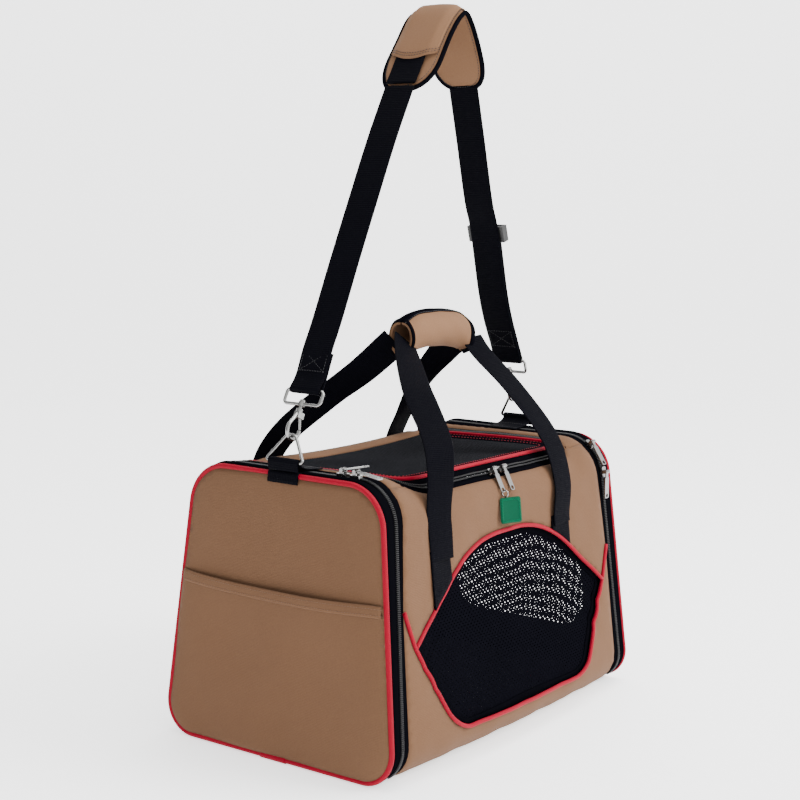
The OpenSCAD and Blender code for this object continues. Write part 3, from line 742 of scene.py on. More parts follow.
def flap_path(grow):
    """Outline of the flap's three zipped edges in plan, grown outward, from back left round the front."""
    r = FLAP_R + grow
    cx, cy = FLAP_HALF - FLAP_R, FLAP_FRONT - FLAP_R
    left = [(-cx - r, y) for y in np.linspace(FLAP_BACK, -cy, 34)[:-1]]
    for a in np.linspace(math.pi, 1.5 * math.pi, 14):
        left.append((-cx + r * math.cos(a), -cy + r * math.sin(a)))
    middle = [(x, -cy - r) for x in np.linspace(-cx, cx, 52)[1:-1]]
    right = [(-x, y) for x, y in left[::-1]]
    return np.array(left + middle + right, float)


def plan(points):
    """A drawing in plan, X and Y, as X and t."""
    points = np.asarray(points, float)
    return np.stack([points[:, 0], CABIN.t_of_y(points[:, 1])], 1)


OPENING = flap_path(15.0)
YOKE_Y = -104.0
YOKE_END_Z = 268.0
CORNER = int(np.argmax(OPENING[:, 1] < -98.5))


def lower_loop():
    """Front panel below the window's lower seam."""
    bottom = -(CABIN.length - 110)
    seam = front(seam_line())
    right = up_the_seam(4, SEAM_Z - 1)
    left = right[::-1] * (-1, 1)
    foot = [(-SEAM_FOOT, bottom), (SEAM_FOOT, bottom)]
    return np.vstack([even(foot, 6), right, even(seam, 4)[::-1], left])


def upper_loop(top):
    """Panel above the window, with its top edge given from right to left as X and t."""
    seam = even(front(seam_line()), 4)
    arch = even(front(arch_line()), 4)
    tail_right = seam[seam[:, 0] > 180]
    tail_left = seam[seam[:, 0] < -180]
    right = up_the_seam(SEAM_Z + 1, 262)
    left = right[::-1] * (-1, 1)
    return np.vstack([right, top, left, tail_left, arch, tail_right])


def top_edges():
    """Top edges of the front and back upper panels, from right to left in the front's X and t."""
    corner = OPENING[CORNER:len(OPENING) - CORNER]
    end = (seam_x(YOKE_END_Z), YOKE_Y)
    path = np.vstack([[end], corner[::-1], [(-end[0], YOKE_Y)]])
    straight = [end, (-end[0], YOKE_Y)]
    return even(plan(path), 5), even(plan(straight), 5)


def top_loop():
    """Panel round the flap: two end pieces joined behind the flap."""
    left = OPENING[:CORNER + 1][::-1].copy()
    left[-1, 1] = FLAP_BACK + 1
    right = left[::-1] * (-1, 1)
    end = seam_x(YOKE_END_Z)
    yoke_left = [(-end, YOKE_Y), left[0]]
    yoke_right = [right[-1], (end, YOKE_Y)]
    back = [(end, -YOKE_Y), (-end, -YOKE_Y)]
    sides = np.linspace(YOKE_Y, -YOKE_Y, 40)[1:-1]
    bow = SEAM_RIM + (end - SEAM_RIM) * (np.abs(sides) / abs(YOKE_Y)) ** 4
    outer_right = np.stack([bow, sides], 1)
    hinge = even([left[-1], right[0]], 5)[1:-1]
    parts = [even(yoke_left, 5)[:-1], left, hinge, right, even(yoke_right, 5)[1:],
             outer_right, even(back, 5), (outer_right * (-1, 1))[::-1]]
    return plan(np.vstack(parts))


def window_loop():
    """Side window inside its piping."""
    seam = even(front(seam_line()), 4)
    arch = even(front(arch_line()), 4)
    return np.vstack([seam[np.abs(seam[:, 0]) <= 179], arch[::-1]])


def drawn_in(loop, amount):
    """The loop with each point moved towards its middle by amount."""
    middle = (loop.min(0) + loop.max(0)) / 2
    arm = loop - middle
    return middle + arm * (1 - amount / np.linalg.norm(arm, axis=1, keepdims=True))


def net_place(x, t, lift):
    return skin(x * NET_STRETCH, t, lift - 3.4)


def hem_place(x, t, lift):
    return skin(x, t, lift - 2.5)


def build_side(label, turn):
    """Panels, window and piping of one long side; turn maps the front's regions to it."""
    edges = top_edges()
    top = edges[0] if label == "front" else edges[1]
    lower = cloth(f"{label}_lower_cloth", [turn(lower_loop())], skin, PANEL_THICK, TAN, "carrier_body",
                  swell=1.3, reach=5, lining=LINING)
    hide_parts(f"{label}_lower_panel")
    upper = cloth(f"{label}_upper_cloth", [turn(upper_loop(top))], skin, PANEL_THICK, TAN, "carrier_body",
                  swell=1.3, reach=5, lining=LINING)
    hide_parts(f"{label}_upper_panel")
    window = window_loop()
    weave = turn(drawn_in(window, 2.0)) / (NET_STRETCH, 1)
    net = hex_net(f"{label}_window_net", weave, net_place, 3.3, 0.34, MESH, "carrier_body")
    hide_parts(f"{label}_window_mesh")
    hem = cloth(f"{label}_window_hem", [turn(drawn_in(window, -1.5)), turn(drawn_in(window, 9.0))],
                hem_place, 0.7, HEM, "carrier_body", step=4)
    for name, line in (("seam", seam_line()), ("arch", arch_line())):
        path = even(turn(front(line)), 3.5)
        cord = sweep(f"{label}_{name}_piping", skin(*path.T, 1.2), ring_section(PIPING_R),
                     RED, "carrier_body", up=(0, -1, 0))
        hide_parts(f"{label}_piping")
    return hem


build_side("front", lambda loop: np.asarray(loop, float))
build_side("back", turned)
crown = cloth("top_cloth", [top_loop()], skin, PANEL_THICK, TAN, "carrier_body",
              swell=1.2, reach=4, lining=LINING)
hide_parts("top_panel")


# ---- end zippers ----

def on_rim(side, x, t, lift):
    y, z, ny, nz = RIM.at(t)
    return xyz(side * x, y + ny * lift, z + nz * lift)


def teeth(name, side, shift, body, t):
    z = RIM.at(t)[1]
    path = even(on_rim(side, coil_x(z) + shift, t, 0.9), 1.9)
    return blocks(name, path, tangents(path), -ALONG, TOOTH, TEETH, body)


def build_end_zipper(label, side):
    door = f"{label}_door"
    whole = np.linspace(-RIM.length, RIM.length, 260)
    zipped = np.linspace(-RIM.t_of_z(9), RIM.t_of_z(9), 240)
    z = RIM.at(whole)[1]
    a, b = seam_x(z) - 3, coil_x(z) - 0.3
    inner = [on_rim(side, x, whole, lift) for x, lift in ((a, 0.0), ((a + b) / 2, 0.6), (b, 0.3))]
    body_tape = strip(f"{label}_body_tape", inner, 1.0, TAPE, "carrier_body")
    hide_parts("end_body_tapes")
    z = RIM.at(zipped)[1]
    start, reach = coil_x(z) + 0.3, tape_x(z) - coil_x(z) + 1.2
    puff = 0.8 + 2.0 * (1 - smooth(np.abs(zipped), 75, 120))
    outer = [on_rim(side, start + reach * share, zipped, 0.3 + puff * height)
             for share, height in ((0, -0.3), (0.3, 0.2), (0.7, 1.0), (1.0, 0.3))]
    door_tape = strip(f"{label}_door_tape", outer, 1.0, TAPE, door)
    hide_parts(f"{label}_outer_tape")
    teeth(f"{label}_body_teeth", side, -1.05, "carrier_body", zipped)
    teeth(f"{label}_door_teeth", side, 1.05, door, zipped)
    y = np.linspace(-112, 112, 40)
    rows = [xyz(side * x, y, 1.4) for x in (202, 209, 214, 218, 222, 226)]
    web = strip(f"{label}_hinge_web", rows, 1.0, TAPE, None)
    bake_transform(web)
    for turn in (-1, 1):
        t = turn * np.linspace(RIM.t_of_z(9.6), RIM.length - 108, 16)
        corner = [on_rim(side, x, t, 0.1) for x in (202, 209, 214, 218, 222, 225)]
        gusset = strip(f"{label}_gusset_{'front' if turn < 0 else 'back'}", corner, 1.0, TAPE, None)
        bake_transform(gusset)


for end_label, end_side in ENDS:
    build_end_zipper(end_label, end_side)


# ---- doors ----

def door_waves(y, z):
    return 0.7 * np.sin(0.031 * y + 0.6) * np.sin(0.027 * z + 0.4) + 0.35 * np.sin(0.06 * y - 0.045 * z)


def panel_place(side):
    def place(y, z, lift):
        return door_point(side, y, z, 1.6 + lift + door_waves(y, z))
    return place


def pocket_edge(y):
    """Height of the pocket's top edge, which sags a little between its ends."""
    return POCKET_Z - 4.0 * np.clip(1 - ((y - 12) / 125) ** 2, 0, 1)


DOOR_EDGE = end_loop(DOOR_IN)


def pocket_out(y, z):
    from_edge = distance(np.stack([y, z], 1), [DOOR_EDGE])
    fill_out = 1 - np.exp(-from_edge / 11.0)
    gape = 3.0 * np.clip(1 - (y / 126) ** 2, 0, 1) * smooth(z, 95, POCKET_Z)
    return 2.3 + (4.4 + gape + 0.5 * np.sin(0.05 * y + 0.02 * z)) * fill_out


def pocket_place(y, z, lift):
    return door_point(-1, y, z, pocket_out(y, z) + door_waves(y, z) + lift)


def pocket_loop(inset):
    loop = end_loop(inset)
    low = loop[loop[:, 1] < pocket_edge(loop[:, 0])]
    plus = low[(low[:, 0] >= 0)]
    minus = low[(low[:, 0] < 0)]
    y = np.linspace(plus[-1, 0], minus[0, 0], 50)
    edge = np.stack([y, pocket_edge(y)], 1)
    return np.vstack([plus, edge[1:-1], minus])


def build_door_piping(label, side):
    loop = end_loop(PIPING_IN, 3.0)
    path = door_point(side, *loop.T, 0.3)
    cord = sweep(f"{label}_door_piping", path, ring_section(2.7, 14), RED, f"{label}_door",
                 closed=True, up=(1, 0, 0))
    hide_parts(f"{label}_piping")
    y = np.linspace(-16, 16, 14)
    join = door_point(side, y, PIPING_IN, 0.3)
    sweep(f"{label}_piping_join", join, ring_section(3.4, 14), RED, f"{label}_door",
          up=(1, 0, 0))


def build_left_door():
    panel = cloth("left_door_cloth", [end_loop(DOOR_IN)], panel_place(-1), 3.0, TAN, "left_door",
                  swell=3.2, reach=12, flip=True, lining=LINING)
    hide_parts("left_end_panel")
    pocket = cloth("left_pocket_cloth", [pocket_loop(5.4)], pocket_place, 1.5, TAN, "left_door",
                   step=5, flip=True)
    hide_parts("left_pocket")
    y = np.linspace(-125.5, 125.5, 90)
    hem = ((-0.6, -0.5), (-0.3, 0.35), (1.5, 0.75), (8.5, 0.7), (10.5, 0.3), (11.2, -0.4))
    rows = [pocket_place(y, pocket_edge(y) - drop, 1.0 + rise) for drop, rise in hem]
    strip("left_pocket_hem", rows, 0.8, TAN, "left_door")
    for number, drop in enumerate((2.6, 8.6)):
        path = pocket_place(y, pocket_edge(y) - drop, 1.85)
        stitches(f"left_pocket_stitch_{number}", path, (-1, 0, 0), THREAD_TAN, "left_door")


def door_window_loop(grow):
    """Mesh window of the right-hand door as Y and Z, grown outward, always with 180 points."""
    low, high = 45 - grow, 236 + grow
    half = 100 + grow
    pts = [(half, low), (half - 12, high), (12 - half, high), (-half, low)]
    loop = rounded(pts, 34, closed=True)
    ring = np.vstack([loop, loop[:1]])
    length = np.linalg.norm(np.diff(ring, axis=0), axis=1).sum()
    return even(loop, length / 180, closed=True)


def build_right_door():
    place = panel_place(1)
    panel = cloth("right_door_cloth", [end_loop(DOOR_IN), door_window_loop(0)[::-1]], place, 3.0, TAN,
                  "right_door", swell=2.4, reach=9, lining=LINING)
    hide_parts("right_end_panel")
    net = hex_net("right_door_net", door_window_loop(3), lambda y, z, lift: place(y, z, lift - 2.6), 3.1, 0.5,
                  MESH, "right_door")
    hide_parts("right_window_mesh")
    loop = door_window_loop(0)
    rim = place(*loop.T, 0.2)
    sweep("right_window_piping", rim, ring_section(2.3), RED, "right_door",
          closed=True, up=(1, 0, 0))
    rows = [place(*door_window_loop(g).T, -1.2) for g in (0, -4, -8)]
    strip("right_window_binding", rows, 0.8, BINDING, "right_door", closed=True)


def build_wire_sleeve(label, side):
    """Binding that holds the spring wire behind the door's edge."""
    loop = end_loop(PIPING_IN + 6, 5.0)
    path = door_point(side, *loop.T, -6.0)
    sleeve = sweep(f"{label}_wire_sleeve", path, ring_section(2.6, 10), BINDING, f"{label}_door",
                   closed=True, up=(1, 0, 0))
    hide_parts(f"{label}_frame_wire")


build_left_door()
build_right_door()
for door_label, door_side in ENDS:
    build_door_piping(door_label, door_side)
    build_wire_sleeve(door_label, door_side)


# ---- top flap ----

def flap_point(x, y, lift=0.0):
    middle = np.clip(1 - (x / 190.0) ** 2, 0, 1)
    rise = 6.0 * smooth(np.abs(x), 140, 180)
    sag = 8.0 * middle * smooth(y, -60, 95)
    dip = 3.5 * np.clip(1 - (x / 140) ** 2, 0, 1) * np.clip(1 - (y / 96) ** 2, 0, 1)
    dip += 0.5 * np.sin(0.11 * x) * np.clip(1 - (y / 96) ** 2, 0, 1)
    return xyz(x, y, TOP_H - SHELL_IN + 0.4 + rise - sag - dip + lift)


def beside_flap(grow, lift=0.0):
    """Points on the zipper tape at a distance outside the flap's piping."""
    pts = flap_path(grow)
    on_flap = flap_point(*pts.T, -1.2)
    t = CABIN.t_of_y(pts[:, 1])
    on_cabin = skin(pts[:, 0], t, 0.2)
    k = float(np.clip((grow - 2.0) / 6.5, 0, 1))
    return on_flap * (1 - k) + on_cabin * k + np.array([0, 0, lift])


def inside_flap(grow, lift=0.0):
    pts = flap_path(grow)
    return flap_point(*pts.T, lift)


def zip_blocks(name, grow, body):
    path = even(beside_flap(grow, 0.8), 1.9)
    along = tangents(path)
    return blocks(name, path, along, np.cross((0, 0, 1), along), TOOTH, TEETH, body)


def build_flap():
    tape = strip("flap_zip_tape", [beside_flap(grow) for grow in (1.5, 4.5, 8.2)], 0.9, TAPE, "top_flap",
                 reach=(0, 0, 0))
    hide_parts("flap_tape")
    outer = strip("flap_body_zip_tape", [beside_flap(g, -0.2) for g in (9.2, 13.0, 18.0)], 0.9, TAPE,
                  "carrier_body", reach=(0, 0, 0))
    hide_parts("flap_body_tape")
    zip_blocks("flap_teeth", 7.65, "top_flap")
    zip_blocks("flap_body_teeth", 9.75, "carrier_body")
    cord = sweep("flap_cord", inside_flap(0.0, 0.3), ring_section(PIPING_R), RED, "top_flap")
    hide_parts("flap_piping")
    band = strip("flap_edge_band", [inside_flap(g, l) for g, l in ((-1.5, -0.6), (-3, 0.1), (-9, 0.5),
                                                                  (-15, 0.2), (-16.2, -0.5))],
                 1.0, BINDING, "top_flap", reach=(0, 0, 0))
    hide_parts("flap_binding")
    x = np.linspace(-FLAP_HALF + 1, FLAP_HALF - 1, 80)
    rise = 1 - smooth(np.abs(x), 125, 149)
    profile = ((87, -0.8), (90, 0.4), (95, 2.2), (100, 3.2))
    rows = [flap_point(x, y, 0.3 + lift * rise) for y, lift in profile]
    strip("flap_back_band", rows, 1.0, TAN, "top_flap", reach=(0, 0, 0))
    region = flap_path(-14.0)
    region = region[region[:, 1] < 89]
    net = hex_net("flap_net", region, lambda u, v, lift: flap_point(u, v, lift - 0.6), 4.0, 0.62, FLAP_NET_PAINTED_LIGHT,
                  "top_flap")
    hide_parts("flap_mesh")
    for number, grow in enumerate((-4.6, -13.4)):
        stitches(f"flap_red_stitch_{number}", inside_flap(grow, 0.62), (0, 0, 1), THREAD_RED, "top_flap",
                 pitch=4.2, length=1.9)


build_flap()


# ---- D-ring tabs and grip webbing ----

def stitch_box(name, corner, along, across, normal, look, body):
    """A sewn box with a cross in it."""
    a, u, v = np.array(corner, float), np.array(along, float), np.array(across, float)
    ring = np.array([a, a + u, a + u + v, a + v, a])
    for number, line in enumerate((ring, np.array([a, a + u + v]), np.array([a + u, a + v]))):
        stitches(f"{name}_{number}", line, normal, look, body)


def build_ring_tab(label, side):
    """Webbing from the cabin's rim over the piping and round the D-ring's bar."""
    ring_low, _ = box_mm(f"{label}_ring")
    bar_x = 212.0
    bar_z = ring_low[2] + 1.6
    pts = [(176, 286.3), (190, 287.6), (201, 289.2), (206.8, 291.8), (209.4, 294.4)]
    top = [(bar_x + 2.7 * math.cos(a), bar_z + 2.7 * math.sin(a))
           for a in np.radians((160, 120, 80, 40, 5))]
    back = [(214.3, 292.8), (213.6, 289.4), (213.2, 287.6)]
    path = spline([(side * x, 0, z) for x, z in pts + top + back], 1.2)
    tab = webbing(f"{label}_ring_tab", path, ACROSS, STRAP_W, 1.7, WEBBING, "carrier_body")
    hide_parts("ring_tabs")
    for number, x in enumerate((181, 198)):
        y = np.linspace(-17, 17, 12)
        line = xyz(side * x, y, np.interp(x, (176, 190, 201), (287.2, 288.5, 290.2)))
        stitches(f"{label}_tab_stitch_{number}", line, (0, 0, 1), WEBBING_THREAD, "carrier_body")


for tab_label, tab_side in ENDS:
    build_ring_tab(tab_label, tab_side)


def build_tab_patch(label, side):
    """Black patch sewn over the door's piping under the D-ring."""
    y = np.linspace(-19, 19, 16)
    over = [(4.1 * math.sin(a), 0.3 + 4.1 * math.cos(a)) for a in np.radians(range(150, -31, -30))]
    below = [(-4.8, 4.6), (-8.0, 4.4)]
    rows = [door_point(side, y, RIM_H - PIPING_IN + rise, out) for rise, out in over + below]
    patch = strip(f"{label}_patch", rows, 0.9, WEBBING, f"{label}_door")
    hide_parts(f"{label}_tab_patch")


for patch_label, patch_side in ENDS:
    build_tab_patch(patch_label, patch_side)

# Paths of the grip webbing's four legs, from the side panel up to the grip
LEGS = {
    "front": (((-128, 0, 203), (-128, 0, 228), (-128, 0, 250), (-124, -123, 286), (-113, -110, 318),
               (-87, -68, 358), (-45, -25, 388), (-24, -6, 402)),
              ((100, 0, 203), (100, 0, 213), (103, -126, 250), (100, -110, 296), (92, -70, 345),
               (96, -25, 380), (97, -8, 398))),
    "back": (((-100, 0, 203), (-100, 0, 213), (-99, -124, 262), (-92, -103, 300), (-60, -72, 338),
              (-38, -40, 368), (-24, -8, 400)),
             ((128, 0, 203), (128, 0, 213), (131, -124, 262), (120, -100, 300), (104, -60, 350),
              (98, -20, 390), (96, -8, 400))),
}


# Width direction of a leg's webbing at shares of its length, for the left and the right leg
TWIST = {
    "front": (((0, 1, -0.12, 0), (0.3, 0.95, -0.32, 0), (0.6, 0.62, -0.75, -0.1),
               (0.85, 0.5, -0.75, -0.45), (1, 0.3, -0.6, -0.75)),
              ((0, 1, 0, 0), (1, 0.9, -0.15, 0.1))),
    "back": (((0, 1, 0, 0), (0.25, 0.85, 0.3, -0.4), (0.7, 0.75, 0.35, -0.5), (1, 0.4, 0.5, -0.75)),
             ((0, 1, 0, 0), (0.45, 1, 0, 0), (0.72, 0.56, 0.15, -0.24), (1, 0.15, 0.3, -0.48))),
}


def build_leg(label, number, points, side):
    """One leg of grip webbing: flat on the panel at its foot, then rising to the grip."""
    fixed = []
    for x, y, z in points:
        on_panel = skin(np.array([x]), np.array([side * CABIN.t_of_z(z)]), 5.6)[0]
        fixed.append((x, on_panel[1] if y == 0 else -side * y, z))
    path = spline(fixed, 3.0)
    share = np.linspace(0, 1, len(path))
    keys = TWIST[label][number]
    at, *columns = np.transpose(keys)
    across = np.stack([np.interp(share, at, column) for column in columns], 1)
    across = unit(across * (1, -side, 1))
    leg_piece = webbing(f"{label}_leg_{number}", path, across, HANDLE_W, 1.7, WEBBING, None)
    y = fixed[1][1] * MM
    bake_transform(leg_piece)
    return leg_piece


def build_strip(label, number, x, side):
    """Webbing sewn flat to the side panel, from the window's piping up to where a leg leaves it."""
    arch = arch_line()
    low = np.linspace(abs(x) - HANDLE_W / 2, abs(x) + HANDLE_W / 2, 12)
    foot = np.stack([low, np.interp(-low, -arch[::-1, 0], arch[::-1, 1]) + 1.5], 1)
    top = [(low[-1], 212.5), (low[0], 212.5)]
    loop = front(np.vstack([foot, even(top, 3)]))
    if x < 0:
        loop = (loop * (-1, 1))[::-1]
    if side > 0:
        loop = (loop * (1, -1))[::-1]
    piece = cloth(f"{label}_strip_{number}", [loop], lambda u, v, lift: skin(u, v, lift + 3.4), 1.9,
                  WEBBING, "carrier_body", step=4, swell=0.4, reach=2)
    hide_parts("handle_strips")


for grip_label, grip_side in LONG_SIDES:
    for leg, leg_points in enumerate(LEGS[grip_label]):
        strap_leg = build_leg(grip_label, leg, leg_points, grip_side)
        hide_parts(f"{grip_label}_handle_webbing")
        build_strip(grip_label, leg, leg_points[0][0], grip_side)


# ---- grip ----

def grip_line():
    """Middle of the grip: it arches a little and its right-hand end droops."""
    pts = [(GRIP_LEFT - 1, 0, GRIP_Z - 5), (GRIP_LEFT + 18, 0, GRIP_Z + 1), (18, 0, GRIP_Z + 3),
           (48, 0, GRIP_Z + 3), (76, 0, GRIP_Z - 1), (GRIP_RIGHT, 0, GRIP_Z - 9)]
    return spline(pts, 3.0)


def grip_rows(path, radius_y, radius_z, angles):
    """Rows of points along the grip at angles round it; 90 is the top, 180 the front."""
    rows = []
    share = np.linspace(0, 1, len(path))
    tight = 1 - 0.10 * (2 * share - 1) ** 4
    for a in np.radians(angles):
        wave = 1 + 0.018 * np.sin(9 * share + 3 * a) + 0.012 * np.sin(23 * share - 5 * a)
        y = radius_y * np.cos(a) * tight * wave
        z = radius_z * np.sin(a) * tight * wave
        rows.append(path + xyz(0, y, z))
    return rows


def build_grip(label, side):
    path = grip_line()
    angles = np.linspace(90 - side * 7, 90 - side * 173, 22)
    rows = grip_rows(path, 16.6, 20.0, angles)
    middle = (35, 0, GRIP_Z)
    shell = strip(f"{label}_grip_cloth", rows, 2.6, TAN_TOP, f"{label}_handle", reach=middle)
    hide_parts(f"{label}_grip")
    edge = [90 - side * turn for turn in (3, 14, 25)]
    ridge = grip_rows(path, 17.6, 21.2, edge)
    strip(f"{label}_grip_ridge", ridge, 1.4, BINDING, f"{label}_handle", reach=middle)
    for number, short in enumerate((path[:3], path[-4:])):
        band = grip_rows(short, 17.4, 20.9, angles)
        strip(f"{label}_grip_end_{number}", band, 1.3, BINDING, f"{label}_handle",
              reach=middle)
    seam = grip_rows(path, 17.9, 21.5, [edge[-1]])[0]
    stitches(f"{label}_grip_stitch", seam, (0, side * 0.4, 1), BINDING_THREAD, f"{label}_handle")


for cuff_label, cuff_side in LONG_SIDES:
    build_grip(cuff_label, cuff_side)


# ---- shoulder strap and pad ----

def in_plane(points):
    """X and Z as points in the carrier's middle plane."""
    return np.array([(x, 0, z) for x, z in points], float)


def build_strap():
    runs = {
        "left": ((-179.7, 362.9), [(-172.5, 377), (-162, 401), (-147, 430), (-120, 488), (-91, 548),
                                   (-61, 609), (-31, 664)]),
        "right": ((186.8, 365.8), [(180.0, 379), (163, 413), (150, 448), (132, 516), (119, 549),
                                   (101, 615), (85, 672)]),
    }
    for label, (bar, up) in runs.items():
        heading = math.atan2(up[1][1] - bar[1], up[1][0] - bar[0])
        normal = np.array([-math.sin(heading), math.cos(heading)])
        tail_len = 26 if label == "left" else 150
        turn = heading + np.linspace(-math.pi / 2, -3 * math.pi / 2, 9)
        fold = np.array(bar) + 3.0 * np.stack([np.cos(turn), np.sin(turn)], 1)
        run = np.array(up[1:], float) + normal * 0.4
        path = spline(in_plane([fold[-1], up[0], *run]), 3.0)
        main = np.vstack([in_plane(fold)[:-1], path])
        guide = spline(in_plane(up), 2.0)
        keep = lengths(guide) < tail_len
        tail = guide[keep][::-1] - np.array([normal[0], 0, normal[1]]) * 3.0
        whole = even(np.vstack([tail, main]), 2.4)
        belt = webbing(f"{label}_strap", whole, ACROSS, STRAP_W - 0.6, 2.1, WEBBING, "shoulder_strap")
        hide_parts("strap_webbing")
        low = np.array([up[0][0], 0, up[0][1]]) + np.array([normal[0], 0, normal[1]]) * 1.7
        step = np.array([math.cos(heading), 0, math.sin(heading)])
        stitch_box(f"{label}_strap_box", low + step * 4 + (0, -15, 0), step * 20, (0, 30, 0),
                   (normal[0], 0, normal[1]), WEBBING_THREAD, "shoulder_strap")


build_strap()

INSIDE_STRAP = (38, 0, 600)
PAD_LINE = [(-30, 660), (-4, 700), (20, 733), (32, 744), (38, 747), (45, 743), (56, 728), (72, 700),
            (88, 668)]


def pad_frame():
    """The pad's middle line from left to right with its outward direction."""
    path = spline(in_plane(PAD_LINE), 2.0)
    soft = path.copy()
    for _ in range(5):
        soft[1:-1] = (soft[:-2] + soft[1:-1] * 2 + soft[2:]) / 4
    tangent = tangents(soft)
    out = np.stack([-tangent[:, 2], 0 * tangent[:, 0], tangent[:, 0]], 1)
    length = lengths(soft)
    return soft, out, length


PAD_PATH, PAD_OUT, PAD_LENGTH = pad_frame()


def pad_place(u, v, lift):
    """u along the pad, v across it."""
    at = np.stack([np.interp(u, PAD_LENGTH, PAD_PATH[:, k]) for k in range(3)], 1)
    out = unit(np.stack([np.interp(u, PAD_LENGTH, PAD_OUT[:, k]) for k in range(3)], 1))
    curl = 2.2 * (v / 34.0) ** 2 + 0.5 * np.sin(u * 0.09 + v * 0.05)
    point = at + out * (lift - curl)[:, None]
    point[:, 1] += v
    return point


def pad_loop(inset):
    """Pad outline: straight sides and rounded ends."""
    total, half, end = PAD_LENGTH[-1], 34.0 - inset, 45.0 - inset
    pts = []
    for a in np.linspace(-math.pi / 2, math.pi / 2, 26):
        c, s = math.cos(a), math.sin(a)
        pts.append((total - inset - end + end * abs(c) ** 0.75, half * np.sign(s) * abs(s) ** 0.75))
    for a in np.linspace(math.pi / 2, 1.5 * math.pi, 26):
        c, s = math.cos(a), math.sin(a)
        pts.append((inset + end - end * abs(c) ** 0.75, half * np.sign(s) * abs(s) ** 0.75))
    return even(pts, 3.0, closed=True)


def build_pad():
    pad = pillow("pad_cloth", pad_loop(1.0), lambda u, v, lift: pad_place(u, v, lift - 0.5), 3.2, TAN_TOP,
                 "shoulder_strap", step=4.0, reach=6.0)
    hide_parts("shoulder_pad")
    rim = pad_loop(0.8)
    edge = pad_place(*rim.T, -0.5)
    up = unit(np.stack([np.interp(rim[:, 0], PAD_LENGTH, PAD_OUT[:, k]) for k in range(3)], 1))
    sweep("pad_binding", edge, ring_section(2.7, 12, 0.8), BINDING, "shoulder_strap",
          closed=True, up=up)
    inner = pad_loop(4.2)
    for number, rise in enumerate((2.6, -3.6)):
        line = pad_place(*inner.T, rise)
        stitches(f"pad_stitch_{number}", line, (0.4, 0, 1), BINDING_THREAD, "shoulder_strap", closed=True)
    total = PAD_LENGTH[-1]
    u = np.linspace(6, total - 6, 90)
    belt = pad_place(u, 0 * u, 4.6)
    webbing("pad_strap", belt, ACROSS, STRAP_W - 0.6, 2.0, WEBBING, "shoulder_strap")
    sleeve_low, sleeve_high = total * 0.22, total * 0.66
    v = np.linspace(-29, 29, 24)
    rows = []
    for share in np.linspace(0, 1, 34):
        foot = sleeve_low - 10 * (1 - (v / 29) ** 2)
        along = foot + (sleeve_high - foot) * share
        hump = 7.4 - 3.6 * smooth(np.abs(v), 19, 29)
        rows.append(pad_place(along, v, hump))
    strip("pad_sleeve", rows, 1.6, TAN_TOP, "shoulder_strap", reach=INSIDE_STRAP)
    for number, row in enumerate((rows[1], rows[2], rows[-2])):
        lifted = row + unit(row - np.array(INSIDE_STRAP)) * 0.4
        stitches(f"sleeve_stitch_{number}", lifted, (0, 0, 1), BINDING_THREAD, "shoulder_strap")


build_pad()


# ---- metal and plastic fittings, base and mat ----

def finish_node(node, material, bevel):
    """Gives a CAD node its material and a fine bevel."""
    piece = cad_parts[node]
    piece.data.materials.clear()
    piece.data.materials.append(material)
    edge = piece.modifiers.new("edge", "BEVEL")
    edge.width = bevel * MM
    edge.segments = 2
    edge.limit_method = "ANGLE"
    edge.angle_limit = math.radians(40)
    edge.harden_normals = False


METAL = [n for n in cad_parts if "slider" in n or "puller" in n or "hook" in n or "gate" in n
         or n.endswith("_ring")]
for metal_node in METAL + ["strap_loops"]:
    finish_node(metal_node, NICKEL[0], 0.15)
finish_node("strap_adjuster", PLASTIC, 0.5)
finish_node("base_panel", LINING, 0.4)
finish_node("base_board", BOARD, 0.3)


def build_mat():
    low, high = box_mm("floor_mat")
    loop = rounded([(high[0], low[1]), (high[0], high[1]), (low[0], high[1]), (low[0], low[1])], 18,
                   closed=True)
    loop = even(loop[:, :2], 7, closed=True)
    middle = (low[2] + high[2]) / 2

    def place(x, y, lift):
        wave = 0.8 * np.sin(0.05 * x) * np.sin(0.06 * y + 1)
        return xyz(x, y, middle + lift + wave * (lift > 0))

    mat = pillow("fleece_mat", loop, place, 5.6, FLEECE, "carrier_body", step=8, reach=9)
    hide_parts("floor_mat")


build_mat()


def build_tag():
    """Small woven tag on the left puller's ring, with a stitched border and no lettering."""
    low, high = box_mm("name_tag")
    hang = math.radians(5.9)
    centre = np.array([(low[0] + high[0]) / 2, low[1] + 4.4, (low[2] + 248) / 2 - 1.5])
    half_x, half_z = 12.6, 13.4
    corner = 2.6
    pts = [(half_x, -half_z), (half_x, half_z), (-half_x, half_z), (-half_x, -half_z)]
    loop = even(rounded(pts, corner, closed=True), 1.6, closed=True)

    def place(x, z, lift):
        y = z * math.tan(hang) - lift - 0.36 * x - 0.9 * (x / 13) ** 2 - 2.2
        return centre + xyz(x, y, z)

    tag = pillow("tag_cloth", loop, place, 0.7, TAG, "top_puller_left", step=2.0, reach=2.0)
    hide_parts("name_tag")
    for number, shrink in enumerate((1.6, 2.6)):
        ring = loop * (1 - shrink / 13)
        line = place(*ring.T, 0.95)
        stitches(f"tag_border_{number}", line, (0, -1, 0), TAG_EDGE, "top_puller_left",
                 pitch=1.5, length=1.1, width=0.8, closed=True)
    a = np.linspace(0, 2 * math.pi, 36, endpoint=False)
    link = xyz(centre[0] - 5, centre[1] + 1.2 + 3.4 * np.cos(a), 250.6 + 3.4 * np.sin(a))
    sweep("tag_ring", link, ring_section(0.7, 10), NICKEL, "top_puller_left", closed=True,
          up=(1, 0, 0))


build_tag()


# ---- floor, light and camera ----

# The photo's viewpoint: turned this far from the front, and standing here in metres
PHOTO_TURN = math.radians(-53.75)
CAMERA_AT = (-1.3651, -0.9833, 0.5506)

